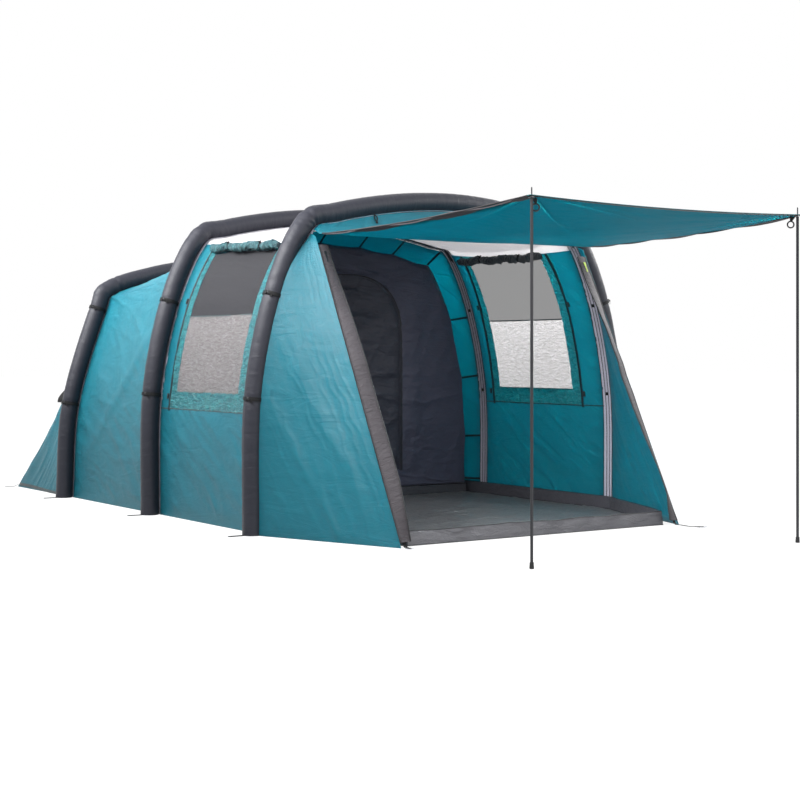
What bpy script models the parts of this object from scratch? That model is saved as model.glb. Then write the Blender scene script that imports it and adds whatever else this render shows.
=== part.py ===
"""Inflatable tunnel tent: three air beams, a sewn fly, a black inner bedroom and a raised door.

Metres, +Z up.  X points right as seen from the door, -Y is the door side, the ground is z = 0.
y = 0 is the plane of the front air beam and x = 0 is the middle of the tent.
"""
import math

import bmesh
import bpy
from mathutils import Matrix, Vector

# Fits shared by every piece
GAP = 0.0003
OVERRUN = 0.02

# Air beams: centreline half width on the ground, crown heights and the places of the three arches
BEAM_HALF_WIDTH = 1.41
TALL_CROWN = 2.02
REAR_CROWN = 1.75
FRONT_Y = 0.0
MIDDLE_Y = 1.40
REAR_Y = 2.88
BEAM_RADIUS = 0.068
BEAM_SIDES = 10
SLEEVE_WALL = 0.002
BLADDER_PLAY = 0.001
BLADDER_WALL = 0.002
BLADDER_SIDES = 8
BLADDER_FOOT = 0.012
BLADDER_END_SHARE = 0.6

# Half an arch, foot to crown: shares of the half width and of the crown height
TALL_ARCH_SHARES = (
    (1.0, 0.0), (0.992, 0.39), (0.9, 0.695), (0.755, 0.906), (0.6, 0.948), (0.3, 0.986), (0.0, 1.0),
)
REAR_ARCH_SHARES = (
    (1.0, 0.0), (0.966, 0.396), (0.815, 0.79), (0.748, 0.886), (0.49, 0.955), (0.25, 0.989), (0.0, 1.0),
)
SPANS = len(TALL_ARCH_SHARES) - 1
KNEE = 3.0
CURVE_STEP_SHARE = 0.01

# Where each piece has its rows, counted in spans of the half arch: 0 is the foot, 6 the crown
HALF_STATION_SHARES = (0.0, 0.5, 1.0, 1.5, 2.0, 2.4, 2.7, 2.9, 3.1, 3.4, 4.0, 5.0, 6.0)
ROOF_EDGE_SHARE = 2.85
ROOF_STATION_SHARES = (ROOF_EDGE_SHARE, 3.0, 3.2, 3.6, 4.3, 5.2, 6.0)
REAR_WALL_STATION_SHARES = (0.5, 1.0, 1.5, 2.0, 2.45, ROOF_EDGE_SHARE)
TAIL_STATION_SHARES = (0.0, 0.6, 1.2, 1.8, 2.4, 2.8, 3.0, 3.2, 3.7, 4.4, 5.2, 6.0)
WING_STATION_SHARES = (0.0, 0.5, 1.0, 1.5, 2.0, 2.4, 2.7, 2.92)
HEADER_STATION_SHARES = (3.02, 3.2, 3.6, 4.3, 5.2, 6.0)
BEDROOM_STATION_SHARES = (0.7, 1.3, 1.8, 2.3, 2.7, 3.0, 3.3, 4.0, 5.0, 6.0)
FRONT_WALL_KNEE_SHARE = 0.9
FRONT_WALL_SHOULDER_SHARE = 1.9

# Zip tape that closes each sleeve inside the tent
TAPE_WIDTH = 0.07
TAPE_THICKNESS = 0.002

# Cloth panels of the fly, drawn thicker than the real 0.2 mm cloth
CLOTH = 0.003
WALL_SAG = 0.022
ROOF_SAG = 0.055
PANEL_COLUMNS = 6

# Side windows in the front bay
WINDOW_FRONT_Y = 0.34
WINDOW_REAR_Y = 1.17
WINDOW_BOTTOM = 0.81
WINDOW_SPLIT = 1.30
WINDOW_TOP = 1.69
FILM = 0.001
ROLL_RADIUS = 0.024
ROLL_LENGTH = 0.94
ROLL_SIDES = 12
ROLL_HEIGHT = 1.742
ROLL_END_SHARE = 0.6

# Tail behind the rear beam
TAIL_HALF_WIDTH = 1.35
TAIL_Y = 3.98
TAIL_START = 0.12
TAIL_SAG = 0.04
TAIL_ROWS = 6

# Doorway: the leading edges of the wings run from the header down to the ground
LEAD_X = 1.03
LEAD_TOP_Y = -0.10
DOOR_TOP_DROP = 0.275
LEAD_TOP_Z = TALL_CROWN - DOOR_TOP_DROP
LEAD_FOOT_Y = -1.0
BINDING_WIDTH = 0.06
BINDING_THICKNESS = 0.006
BINDING_TOP_CUT = 0.075
BINDING_FOOT_CUT = 0.035
WING_SAG = 0.06
WING_SEAM = 0.0018
WING_COLUMNS = 5

# Raised door panel
DOOR_STANDOFF = 0.035
POLE_X = 0.95
POLE_Y = -2.02
CANOPY_CORNER = 1.83
EYELET_MARGIN = 0.036
AWNING_SAG = 0.045
AWNING_FRONT_SAG = 0.02
AWNING_EDGE_SAG = 0.018
AWNING_EDGE_CURVE = 0.015
EYELET_HOLE = 0.007
EYELET_RADIUS = 0.017
EYELET_THICKNESS = 0.003

# Steel door poles: three tubes that plug together, a spike and a rubber foot
POLE_RADIUS = 0.008
POLE_BORE = 0.0068
SPIGOT_RADIUS = 0.0064
SPIGOT_LENGTH = 0.05
SPIKE_RADIUS = 0.0035
SPIKE_LENGTH = 0.05
POLE_FOOT_RADIUS = 0.0125
POLE_FOOT_HEIGHT = 0.032
POLE_FOOT_FLOOR = 0.006
POLE_FOOT_BASE_SHARE = 0.9
POLE_FOOT_RIM_SHARE = 0.85
POLE_FOOT_EDGE_SHARE = 0.1
TURNED_SIDES = 10

# Groundsheet with upturned sides
LIP_HEIGHT = 0.087
SHEET = 0.003
FLOOR_FRONT_Y = -0.945
FLOOR_FRONT_HALF = 0.954
FLOOR_EASE = 0.008

# Inner bedroom
BEDROOM_Y = 1.56
BEDROOM_INSET = 0.055
BEDROOM_CLOTH = 0.002
BEDROOM_LIP = 0.07
BEDROOM_TAIL_EASE = 0.12
DOOR_CENTRE_X = 0.185
DOOR_HALF_WIDTH = 0.50
DOOR_BOTTOM = 0.20
DOOR_STRAIGHT_TOP = 1.15
DOOR_TOP = 1.623
DOOR_ARC_STEPS = 10
DOOR_ARCH_POWER = 0.75
DOOR_SEAM = 0.0006

# Inflation valves near the right feet, one on each beam
VALVE_HEIGHT = 0.28
VALVE_RADIUS = 0.013
VALVE_BORE = 0.007
VALVE_STAND = 0.008
CAP_RADIUS = 0.015
CAP_THICKNESS = 0.009
CAP_LOBES = 6
CAP_LOBE_DEPTH_SHARE = 0.12

# Webbing: peg loops at the feet, straps at the door corners and the tail corners
WEBBING = 0.003
LOOP_WIDTH = 0.036
LOOP_LENGTH = 0.085
LOOP_SLOT = 0.012
LOOP_ROOT = 0.02
LOOP_CORNER_SHARE = 0.5
STRAP_WIDTH = 0.022
STRAP_THICKNESS = 0.002
STRAP_LENGTHS = {"left": 0.075, "right": 0.20}
STRAP_TOP = 0.075
STRAP_HEADING = 15.0
STRAP_FLAT_SHARE = 0.8
STRAP_RETURN_SHARE = 0.86
RING_WIRE = 0.002
RING_PLAY = 0.0006
RING_STRAIGHT = 0.026
RING_END_RADIUS = 0.012
RING_STEPS = 5
RING_SIDES = 6
TAIL_STRAP_LENGTH = 0.10
TAIL_STRAP_HEADING = 20.0

# Zip sliders on the door's side zips
SLIDER_LENGTH = 0.026
SLIDER_WIDTH = 0.014
SLIDER_THICKNESS = 0.006
SLIDER_WAIST_SHARE = 0.35
PULL_LENGTH = 0.045
PULL_WIDTH = 0.007
PULL_THICKNESS = 0.0025
SLIDER_TOP = 0.10

# Hooded vent on the left side of the tail
VENT_Y = 3.26
VENT_TOP = 0.82
VENT_LENGTH = 0.20
VENT_DROP = 0.13
VENT_REACH = 0.09
VENT_THICKNESS = 0.003
VENT_SIDE_SHARE = 0.35
VENT_STAND = 0.002

COLOURS = {
    "teal polyester": ("#2F7C8A", 0.55, 0.0),
    "pale polyester": ("#E6E3E4", 0.6, 0.0),
    "sleeve polyester": ("#4E4A54", 0.6, 0.0),
    "bladder film": ("#C9CCD0", 0.35, 0.0),
    "zip tape": ("#9A9AAA", 0.7, 0.0),
    "binding": ("#6A6268", 0.7, 0.0),
    "window mesh": ("#3E3D42", 0.8, 0.0),
    "window film": ("#B9B5B3", 0.2, 0.0),
    "floor fabric": ("#5C6064", 0.5, 0.0),
    "inner fabric": ("#23222A", 0.8, 0.0),
    "webbing": ("#1C1C1F", 0.8, 0.0),
    "black plastic": ("#202124", 0.4, 0.0),
    "rubber": ("#18181A", 0.7, 0.0),
    "painted steel": ("#4A4A4C", 0.35, 0.8),
    "bright steel": ("#B5B7BA", 0.25, 1.0),
    "lime cord": ("#B8D83A", 0.6, 0.0),
}


class Beam:
    """One air beam: its plane, its crown height and the half arch that its centreline follows."""

    def __init__(self, name, y, crown, shares):
        self.name = name
        self.y = y
        self.crown = crown
        half = [Vector((BEAM_HALF_WIDTH * a, crown * b)) for a, b in shares]
        self.points = half + [Vector((-p.x, p.y)) for p in reversed(half[:-1])]


FRONT = Beam("front", FRONT_Y, TALL_CROWN, TALL_ARCH_SHARES)
MIDDLE = Beam("middle", MIDDLE_Y, TALL_CROWN, TALL_ARCH_SHARES)
REAR = Beam("rear", REAR_Y, REAR_CROWN, REAR_ARCH_SHARES)
FULL = 2.0 * SPANS
STATIONS = HALF_STATION_SHARES + tuple(FULL - s for s in reversed(HALF_STATION_SHARES[:-1]))

APOTHEM = BEAM_RADIUS * math.cos(math.pi / BEAM_SIDES)
BLADDER_RADIUS = (BEAM_RADIUS - SLEEVE_WALL) * math.cos(math.pi / BEAM_SIDES) - BLADDER_PLAY
FLY_INSET = APOTHEM + GAP
TAPE_HALF = 0.5 * TAPE_WIDTH
INSIDE = Vector((0.0, MIDDLE_Y, 0.4 * TALL_CROWN))


def clear_scene():
    for item in list(bpy.data.objects):
        bpy.data.objects.remove(item, do_unlink=True)


def linear(channel):
    if channel <= 0.04045:
        return channel / 12.92
    return ((channel + 0.055) / 1.055) ** 2.4


def material(name):
    found = bpy.data.materials.get(name)
    if found:
        return found
    colour, roughness, metallic = COLOURS[name]
    found = bpy.data.materials.new(name)
    found.use_nodes = True
    shader = found.node_tree.nodes["Principled BSDF"]
    rgb = [linear(int(colour[i:i + 2], 16) / 255.0) for i in (1, 3, 5)]
    shader.inputs["Base Color"].default_value = (*rgb, 1.0)
    shader.inputs["Roughness"].default_value = roughness
    shader.inputs["Metallic"].default_value = metallic
    found.diffuse_color = (*rgb, 1.0)
    return found


def add_object(name, mesh_data, finish, smooth_degrees=40.0):
    """Turn a bmesh into a named object with its faces pointing out."""
    bmesh.ops.recalc_face_normals(mesh_data, faces=mesh_data.faces[:])
    if mesh_data.calc_volume(signed=True) < 0.0:
        bmesh.ops.reverse_faces(mesh_data, faces=mesh_data.faces[:])
    mesh = bpy.data.meshes.new(name)
    mesh_data.to_mesh(mesh)
    mesh_data.free()
    mesh.materials.append(material(finish))
    mesh.shade_smooth()
    mesh.set_sharp_from_angle(angle=math.radians(smooth_degrees))
    made = bpy.data.objects.new(name, mesh)
    bpy.context.scene.collection.objects.link(made)
    return made


def on_axis(piece, pivot, parent=None):
    """Put a piece's origin on its joint's axis, with its shape left in place."""
    piece.data.transform(Matrix.Translation(-pivot))
    piece.location = pivot
    if parent:
        piece.parent = parent
        piece.matrix_parent_inverse = parent.matrix_world.inverted()


def pivot_empty(name, place):
    guide = bpy.data.objects.new(name, None)
    guide.location = place
    bpy.context.scene.collection.objects.link(guide)
    bpy.context.view_layer.update()
    return guide


def boolean(piece, cutter, operation):
    """Cut a piece by a hidden cutter, or join a hidden shape to it."""
    cutter.hide_render = True
    cutter.display_type = "WIRE"
    step = piece.modifiers.new(cutter.name, "BOOLEAN")
    step.object = cutter
    step.operation = operation
    step.solver = "EXACT"


def curve_at(points, t):
    """A smooth curve through points: t = 0 is the first point, 1 the second, and so on."""
    last = len(points) - 1
    k = min(int(t), last - 1)
    u = t - k
    a, b = points[k], points[k + 1]
    before = points[k - 1] if k > 0 else 2.0 * a - b
    after = points[k + 2] if k + 2 <= last else 2.0 * b - a
    return 0.5 * (
        2.0 * a
        + (b - before) * u
        + (2.0 * before - 5.0 * a + 4.0 * b - after) * u * u
        + (3.0 * a - before - 3.0 * b + after) * u ** 3
    )


def arch_normal(beam, t):
    """The outward direction of an arch in its own plane, level at the feet."""
    if t <= 0.0:
        return Vector((1.0, 0.0))
    if t >= FULL:
        return Vector((-1.0, 0.0))
    ahead = curve_at(beam.points, min(t + CURVE_STEP_SHARE, FULL))
    along = (ahead - curve_at(beam.points, max(t - CURVE_STEP_SHARE, 0.0))).normalized()
    return Vector((along.y, -along.x))


def arch_at(beam, t, inset=0.0):
    """A point (x, z) on a beam's arch, moved in by inset; t runs from the right foot to the left."""
    return curve_at(beam.points, t) - arch_normal(beam, t) * inset


def station_at_height(beam, height, inset=FLY_INSET):
    """The place on the right leg that lies at a given height."""
    low, high = 0.0, float(KNEE)
    for _ in range(40):
        middle = 0.5 * (low + high)
        if arch_at(beam, middle, inset).y < height:
            low = middle
        else:
            high = middle
    return low


def grid_normals(grid, inside):
    """A unit normal at each point of a grid, turned away from a point inside the tent."""
    rows, cols = len(grid), len(grid[0])
    normals = []
    facing = 0.0
    for i in range(rows):
        line = []
        for j in range(cols):
            down = grid[min(i + 1, rows - 1)][j] - grid[max(i - 1, 0)][j]
            across = grid[i][min(j + 1, cols - 1)] - grid[i][max(j - 1, 0)]
            normal = down.cross(across).normalized()
            facing += normal.dot((grid[i][j] - inside).normalized())
            line.append(normal)
        normals.append(line)
    if facing < 0.0:
        normals = [[-n for n in line] for line in normals]
    return normals


def trim(grid, distance=GAP):
    """Draw every edge of a grid in, so that two panels at one seam keep a gap; the ground stays."""
    rows, cols = len(grid), len(grid[0])
    trimmed = [[p.copy() for p in line] for line in grid]
    for i in range(rows):
        for j, step in ((0, 1), (cols - 1, -1)):
            trimmed[i][j] += (grid[i][j + step] - grid[i][j]).normalized() * distance
    for j in range(cols):
        for i, step in ((0, 1), (rows - 1, -1)):
            if grid[i][j].z > 0.0:
                trimmed[i][j] += (grid[i + step][j] - grid[i][j]).normalized() * distance
    return trimmed


def sheet(name, grid, thickness, finish, inside=INSIDE, hole=None, normals=None):
    """A closed panel of even thickness; its outer face is the grid, and hole leaves cells out."""
    rows, cols = len(grid), len(grid[0])
    if normals is None:
        normals = grid_normals(grid, inside)
    bm = bmesh.new()
    outer = [[bm.verts.new(p) for p in line] for line in grid]
    inner = []
    for i in range(rows):
        line = []
        for j in range(cols):
            point = grid[i][j] - normals[i][j] * thickness
            if grid[i][j].z <= 0.0:
                point.z = 0.0
            line.append(bm.verts.new(point))
        inner.append(line)
    rim = {}
    for i in range(rows - 1):
        for j in range(cols - 1):
            if hole and hole[0] <= i < hole[1] and hole[2] <= j < hole[3]:
                continue
            corners = ((i, j), (i, j + 1), (i + 1, j + 1), (i + 1, j))
            for half in (corners[:3], (corners[0],) + corners[2:]):
                bm.faces.new([outer[a][b] for a, b in half])
                bm.faces.new([inner[a][b] for a, b in reversed(half)])
            for k in range(4):
                edge = (corners[k], corners[(k + 1) % 4])
                if edge[::-1] in rim:
                    del rim[edge[::-1]]
                else:
                    rim[edge] = True
    for (a, b), (c, d) in rim:
        bm.faces.new([outer[c][d], outer[a][b], inner[a][b], inner[c][d]])
    for vertex in [v for v in bm.verts if not v.link_faces]:
        bm.verts.remove(vertex)
    return add_object(name, bm, finish)


def loop_sheet(name, outer, inner, thickness_vector, finish):
    """A flat ring between two loops with as many points, or a flat plate where inner is None."""
    bm = bmesh.new()
    faces = []
    if inner is None:
        faces.append(bm.faces.new([bm.verts.new(p) for p in outer]))
    else:
        ring_a = [bm.verts.new(p) for p in outer]
        ring_b = [bm.verts.new(p) for p in inner]
        count = len(outer)
        for k in range(count):
            n = (k + 1) % count
            faces.append(bm.faces.new([ring_a[k], ring_a[n], ring_b[n], ring_b[k]]))
    made = bmesh.ops.extrude_face_region(bm, geom=faces)
    moved = [v for v in made["geom"] if isinstance(v, bmesh.types.BMVert)]
    bmesh.ops.translate(bm, verts=moved, vec=thickness_vector)
    return add_object(name, bm, finish, smooth_degrees=30.0)


def turned(name, profile, place, axis, sides, finish):
    """A closed profile of (radius, height) pairs turned round an axis through place."""
    turn = Vector((0.0, 0.0, 1.0)).rotation_difference(axis).to_matrix()
    bm = bmesh.new()
    rings = []
    for radius, height in profile:
        if radius <= 0.0:
            rings.append([bm.verts.new(place + turn @ Vector((0.0, 0.0, height)))])
            continue
        ring = []
        for k in range(sides):
            a = 2.0 * math.pi * (k + 0.5) / sides
            local = Vector((radius * math.cos(a), radius * math.sin(a), height))
            ring.append(bm.verts.new(place + turn @ local))
        rings.append(ring)
    pairs = list(zip(rings, rings[1:]))
    if len(rings[0]) > 1:
        pairs.append((rings[-1], rings[0]))
    for low, high in pairs:
        for k in range(sides):
            n = (k + 1) % sides
            corners = [low[k % len(low)], low[n % len(low)], high[n % len(high)], high[k % len(high)]]
            unique = list(dict.fromkeys(corners))
            if len(unique) > 2:
                bm.faces.new(unique)
    return add_object(name, bm, finish)


def arch_ring(bm, beam, t, radius, sides):
    centre = curve_at(beam.points, t)
    outward = arch_normal(beam, t)
    ring = []
    for k in range(sides):
        a = 2.0 * math.pi * (k + 0.5) / sides
        plane = centre + outward * (radius * math.cos(a))
        ring.append(bm.verts.new((plane.x, beam.y + radius * math.sin(a), plane.y)))
    return ring


def skin(bm, rings, closed=False):
    """Join rings of as many points one after the other, and cap the ends if closed."""
    sides = len(rings[0])
    for low, high in zip(rings, rings[1:]):
        for k in range(sides):
            n = (k + 1) % sides
            bm.faces.new([low[k], low[n], high[n], high[k]])
    if closed:
        bm.faces.new(rings[0])
        bm.faces.new(rings[-1])


def peg_loop_outline(x, y, side, grow=0.0):
    """A strap end with round corners, lying away from a foot; grow widens it to the slot's rim."""
    half = 0.5 * LOOP_WIDTH - grow
    corner = half * LOOP_CORNER_SHARE
    root = x + side * (grow if grow > 0.0 else -LOOP_ROOT)
    tip = x + side * (LOOP_LENGTH - grow)
    return [
        Vector((root, y - half, 0.0)),
        Vector((tip - side * corner, y - half, 0.0)),
        Vector((tip, y - half + corner, 0.0)),
        Vector((tip, y + half - corner, 0.0)),
        Vector((tip - side * corner, y + half, 0.0)),
        Vector((root, y + half, 0.0)),
    ]


def build_sleeve(beam):
    """An open-ended cloth tube with a valve hole and a webbing peg loop sewn to each foot."""
    bm = bmesh.new()
    outer = [arch_ring(bm, beam, t, BEAM_RADIUS, BEAM_SIDES) for t in STATIONS]
    inner = [arch_ring(bm, beam, t, BEAM_RADIUS - SLEEVE_WALL, BEAM_SIDES) for t in STATIONS]
    skin(bm, outer)
    skin(bm, inner)
    skin(bm, [outer[0], inner[0]])
    skin(bm, [outer[-1], inner[-1]])
    sleeve = add_object(f"{beam.name}_beam_sleeve", bm, "sleeve polyester")
    valve = valve_place(beam)
    hole = turned(
        f"{beam.name}_valve_hole",
        ((0.0, -OVERRUN), (VALVE_RADIUS + GAP, -OVERRUN), (VALVE_RADIUS + GAP, OVERRUN), (0.0, OVERRUN)),
        valve, Vector((1.0, 0.0, 0.0)), TURNED_SIDES, "webbing",
    )
    boolean(sleeve, hole, "DIFFERENCE")
    foot = BEAM_HALF_WIDTH + APOTHEM
    for side, label in ((-1.0, "left"), (1.0, "right")):
        rim = peg_loop_outline(side * foot, beam.y, side)
        slot = peg_loop_outline(side * foot, beam.y, side, LOOP_SLOT)
        rise = Vector((0.0, 0.0, WEBBING))
        lift = Vector((0.0, 0.0, GAP))
        strap = loop_sheet(
            f"{beam.name}_{label}_peg_loop", [p + lift for p in rim], [p + lift for p in slot],
            rise, "webbing",
        )
        boolean(sleeve, strap, "UNION")
    return sleeve


def valve_place(beam):
    """The point on the outer face of the right leg where the valve comes through."""
    t = station_at_height(beam, VALVE_HEIGHT, 0.0)
    centre = curve_at(beam.points, t)
    return Vector((centre.x + APOTHEM, beam.y, centre.y))


def build_bladder(beam):
    """The air tube inside a sleeve: hollow, shut at both ends and open at its valve."""
    radius = BLADDER_RADIUS
    middle = STATIONS[1:-1]
    bm = bmesh.new()
    for skin_radius, push in ((radius, 0.0), (radius - BLADDER_WALL, BLADDER_WALL)):
        first = station_at_height(beam, BLADDER_FOOT + push, 0.0)
        second = station_at_height(beam, BLADDER_FOOT + 0.5 * radius, 0.0)
        places = [(first, BLADDER_END_SHARE), (second, 1.0)]
        places += [(t, 1.0) for t in middle if second < t < FULL - second]
        places += [(FULL - second, 1.0), (FULL - first, BLADDER_END_SHARE)]
        rings = [arch_ring(bm, beam, t, skin_radius * share, BLADDER_SIDES) for t, share in places]
        skin(bm, rings, closed=True)
    mesh = bpy.data.meshes.new("bladder")
    groups = split_shells(bm)
    for number, group in enumerate(groups):
        bmesh.ops.recalc_face_normals(bm, faces=group)
        if number == 1:
            bmesh.ops.reverse_faces(bm, faces=group)
    bm.to_mesh(mesh)
    bm.free()
    mesh.materials.append(material("bladder film"))
    mesh.shade_smooth()
    mesh.set_sharp_from_angle(angle=math.radians(40.0))
    bladder = bpy.data.objects.new(f"{beam.name}_air_bladder", mesh)
    bpy.context.scene.collection.objects.link(bladder)
    place = valve_place(beam)
    port = turned(
        f"{beam.name}_bladder_port",
        ((0.0, -OVERRUN), (VALVE_BORE, -OVERRUN), (VALVE_BORE, OVERRUN), (0.0, OVERRUN)),
        place, Vector((1.0, 0.0, 0.0)), TURNED_SIDES, "webbing",
    )
    boolean(bladder, port, "DIFFERENCE")


def split_shells(bm):
    """The faces of each separate shell, the first made first."""
    seen = set()
    shells = []
    for face in bm.faces:
        if face in seen:
            continue
        shell = [face]
        seen.add(face)
        for item in shell:
            for edge in item.edges:
                for other in edge.link_faces:
                    if other not in seen:
                        seen.add(other)
                        shell.append(other)
        shells.append(shell)
    return shells


def build_valve(beam):
    """A valve body through the sleeve, and the cap that screws onto it."""
    place = valve_place(beam)
    out = Vector((1.0, 0.0, 0.0))
    root = BLADDER_RADIUS * math.cos(math.pi / BLADDER_SIDES) - APOTHEM + 2.0 * GAP
    profile = (
        (VALVE_BORE, root), (VALVE_RADIUS, root), (VALVE_RADIUS, VALVE_STAND),
        (VALVE_BORE, VALVE_STAND),
    )
    turned(f"{beam.name}_valve_body", profile, place, out, TURNED_SIDES, "black plastic")
    bm = bmesh.new()
    rings = []
    for height in (VALVE_STAND + GAP, VALVE_STAND + CAP_THICKNESS):
        ring = []
        for k in range(4 * CAP_LOBES):
            a = 2.0 * math.pi * k / (4 * CAP_LOBES)
            radius = CAP_RADIUS * (1.0 - CAP_LOBE_DEPTH_SHARE * (1.0 + math.cos(CAP_LOBES * a)) / 2.0)
            spot = Vector((height, radius * math.cos(a), radius * math.sin(a)))
            ring.append(bm.verts.new(place + spot))
        rings.append(ring)
    skin(bm, rings, closed=True)
    cap = add_object(f"{beam.name}_valve_cap", bm, "black plastic")
    on_axis(cap, place)


def build_tape(beam):
    """The zip tape along the inner side of a sleeve."""
    grid = []
    for t in STATIONS:
        line = arch_at(beam, t, FLY_INSET)
        grid.append([Vector((line.x, beam.y + s * (TAPE_HALF - GAP), line.y)) for s in (-1.0, 1.0)])
    sheet(f"{beam.name}_zip_tape", grid, TAPE_THICKNESS, "zip tape",
          inside=Vector((0.0, beam.y, 0.0)))


def fade(t):
    """0 at either foot, rising to 1 a span above it."""
    return min(1.0, t, FULL - t)


def sag_at(t):
    """How far a panel sags between two beams: least in the walls, most in the roof."""
    rise = min(1.0, max(0.0, min(t, FULL - t) - 2.0))
    return (WALL_SAG + (ROOF_SAG - WALL_SAG) * rise) * fade(t)


def bay_point(first, second, t, y, inset):
    """A point on the cloth between two beams."""
    share = min(1.0, max(0.0, (y - first.y) / (second.y - first.y)))
    drop = sag_at(t) * 4.0 * share * (1.0 - share)
    a = arch_at(first, t, inset + drop)
    b = arch_at(second, t, inset + drop)
    line = a.lerp(b, share)
    return Vector((line.x, y, line.y))


def spread(start, end, count):
    return [start + (end - start) * k / count for k in range(count + 1)]


def bay_grid(first, second, stations, columns, inset=FLY_INSET):
    return [[bay_point(first, second, t, y, inset) for y in columns] for t in stations]


def mirrored(stations):
    return [FULL - t for t in stations]


def window_stations():
    bottom = station_at_height(FRONT, WINDOW_BOTTOM)
    split = station_at_height(FRONT, WINDOW_SPLIT)
    top = station_at_height(FRONT, WINDOW_TOP)
    return bottom, split, top


class Bay:
    """The cloth between two beams as one grid, cut into panels that share their seams."""

    def __init__(self, first, second, wall_rows, columns):
        self.first = first
        self.second = second
        half = list(wall_rows) + list(ROOF_STATION_SHARES[1:])
        self.stations = half + mirrored(reversed(half[:-1]))
        self.columns = columns
        self.grid = bay_grid(first, second, self.stations, columns)
        self.normals = grid_normals(self.grid, INSIDE)

    def panel(self, name, start, end, thickness, finish, columns=None, hole=None):
        """The part of the bay from one station to another, drawn in a little at its seams."""
        a, b = self.row(start), self.row(end) + 1
        c, d = columns or (0, len(self.columns))
        grid = [line[c:d] for line in self.grid[a:b]]
        normals = [line[c:d] for line in self.normals[a:b]]
        return sheet(name, trim(grid), thickness, finish, hole=hole, normals=normals)

    def row(self, station):
        return min(range(len(self.stations)), key=lambda k: abs(self.stations[k] - station))


def make_front_bay():
    lip = station_at_height(FRONT, LIP_HEIGHT)
    bottom, split, top = window_stations()
    rows = [0.0, lip, 0.5 * (lip + bottom)] + spread(bottom, split, 2) + spread(split, top, 3)[1:]
    glass = spread(WINDOW_FRONT_Y, WINDOW_REAR_Y, 3)
    columns = [FRONT_Y + TAPE_HALF] + glass + [MIDDLE_Y - TAPE_HALF]
    return Bay(FRONT, MIDDLE, rows + [ROOF_EDGE_SHARE], columns)


def make_rear_bay():
    lip = station_at_height(MIDDLE, LIP_HEIGHT)
    columns = spread(MIDDLE_Y + TAPE_HALF, REAR_Y - TAPE_HALF, PANEL_COLUMNS)
    return Bay(MIDDLE, REAR, (0.0, lip) + REAR_WALL_STATION_SHARES, columns)


def build_front_bay(bay):
    """Left and right walls with their windows, and the pale roof between them."""
    bottom, split, top = window_stations()
    window = (1, len(bay.columns) - 1)
    for label in ("right", "left"):
        ends = [(0.0, ROOF_EDGE_SHARE), (bottom, split), (split, top)]
        if label == "left":
            ends = [(FULL - b, FULL - a) for a, b in ends]
        wall, film, screen = ends
        low, high = sorted((film, screen))[0][0], sorted((film, screen))[1][1]
        start = bay.row(wall[0])
        hole = (bay.row(low) - start, bay.row(high) - start, window[0], window[1] - 1)
        bay.panel(f"front_{label}_wall", *wall, CLOTH, "teal polyester", hole=hole)
        bay.panel(f"{label}_window_film", *film, FILM, "window film", columns=window)
        bay.panel(f"{label}_window_mesh", *screen, FILM, "window mesh", columns=window)
    bay.panel("front_roof", ROOF_EDGE_SHARE, FULL - ROOF_EDGE_SHARE, CLOTH, "pale polyester")


def build_rear_bay(bay):
    bay.panel("rear_right_wall", 0.0, ROOF_EDGE_SHARE, CLOTH, "teal polyester")
    bay.panel("rear_left_wall", FULL - ROOF_EDGE_SHARE, FULL, CLOTH, "teal polyester")
    bay.panel("rear_roof", ROOF_EDGE_SHARE, FULL - ROOF_EDGE_SHARE, CLOTH, "teal polyester")


def tail_point(t, v, inset, half_width, rear_y, ground=0.0):
    """A point on the tail: v runs from the rear beam (0) to the ground (1)."""
    side = 1.0 if t <= SPANS else -1.0
    near = min(t, FULL - t)
    line = arch_at(REAR, near, inset)
    start_y = REAR_Y + TAPE_HALF + CLOTH
    top = Vector((line.x, start_y, max(line.y, ground)))
    corner = Vector((half_width, rear_y, ground))
    if near <= KNEE:
        foot = arch_at(REAR, 0.0, inset)
        start = Vector((foot.x, start_y + TAIL_START, ground))
        below = start.lerp(corner, near / KNEE)
    else:
        across = (near - KNEE) / (SPANS - KNEE)
        below = Vector((half_width * (1.0 - across), rear_y, ground))
    point = top.lerp(below, v)
    inward = (INSIDE - point)
    inward.z = 0.0
    point += inward.normalized() * (TAIL_SAG * 4.0 * v * (1.0 - v) * fade(near))
    return Vector((side * point.x, point.y, point.z))


def tail_grid(inset, half_width, rear_y, ground=0.0, first=0.0):
    half = [t for t in TAIL_STATION_SHARES if t > first]
    stations = [first] + half + [FULL - t for t in reversed([first] + half[:-1])]
    levels = spread(0.0, 1.0, TAIL_ROWS)
    return [[tail_point(t, v, inset, half_width, rear_y, ground) for v in levels] for t in stations]


def build_tail():
    grid = tail_grid(FLY_INSET, TAIL_HALF_WIDTH, TAIL_Y)
    sheet("tail_panel", trim(grid), CLOTH, "teal polyester")
    for side, label in ((-1.0, "left"), (1.0, "right")):
        heading = math.radians(TAIL_STRAP_HEADING)
        out = Vector((side * math.cos(heading), math.sin(heading), 0.0))
        across = Vector((-out.y, out.x, 0.0)) * (0.5 * STRAP_WIDTH)
        start = Vector((side * TAIL_HALF_WIDTH, TAIL_Y, 0.0)) + out * GAP
        end = start + out * TAIL_STRAP_LENGTH
        outline = [start - across, end - across, end + across, start + across]
        loop_sheet(f"tail_{label}_strap", outline, None, Vector((0.0, 0.0, STRAP_THICKNESS)), "webbing")


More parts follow.
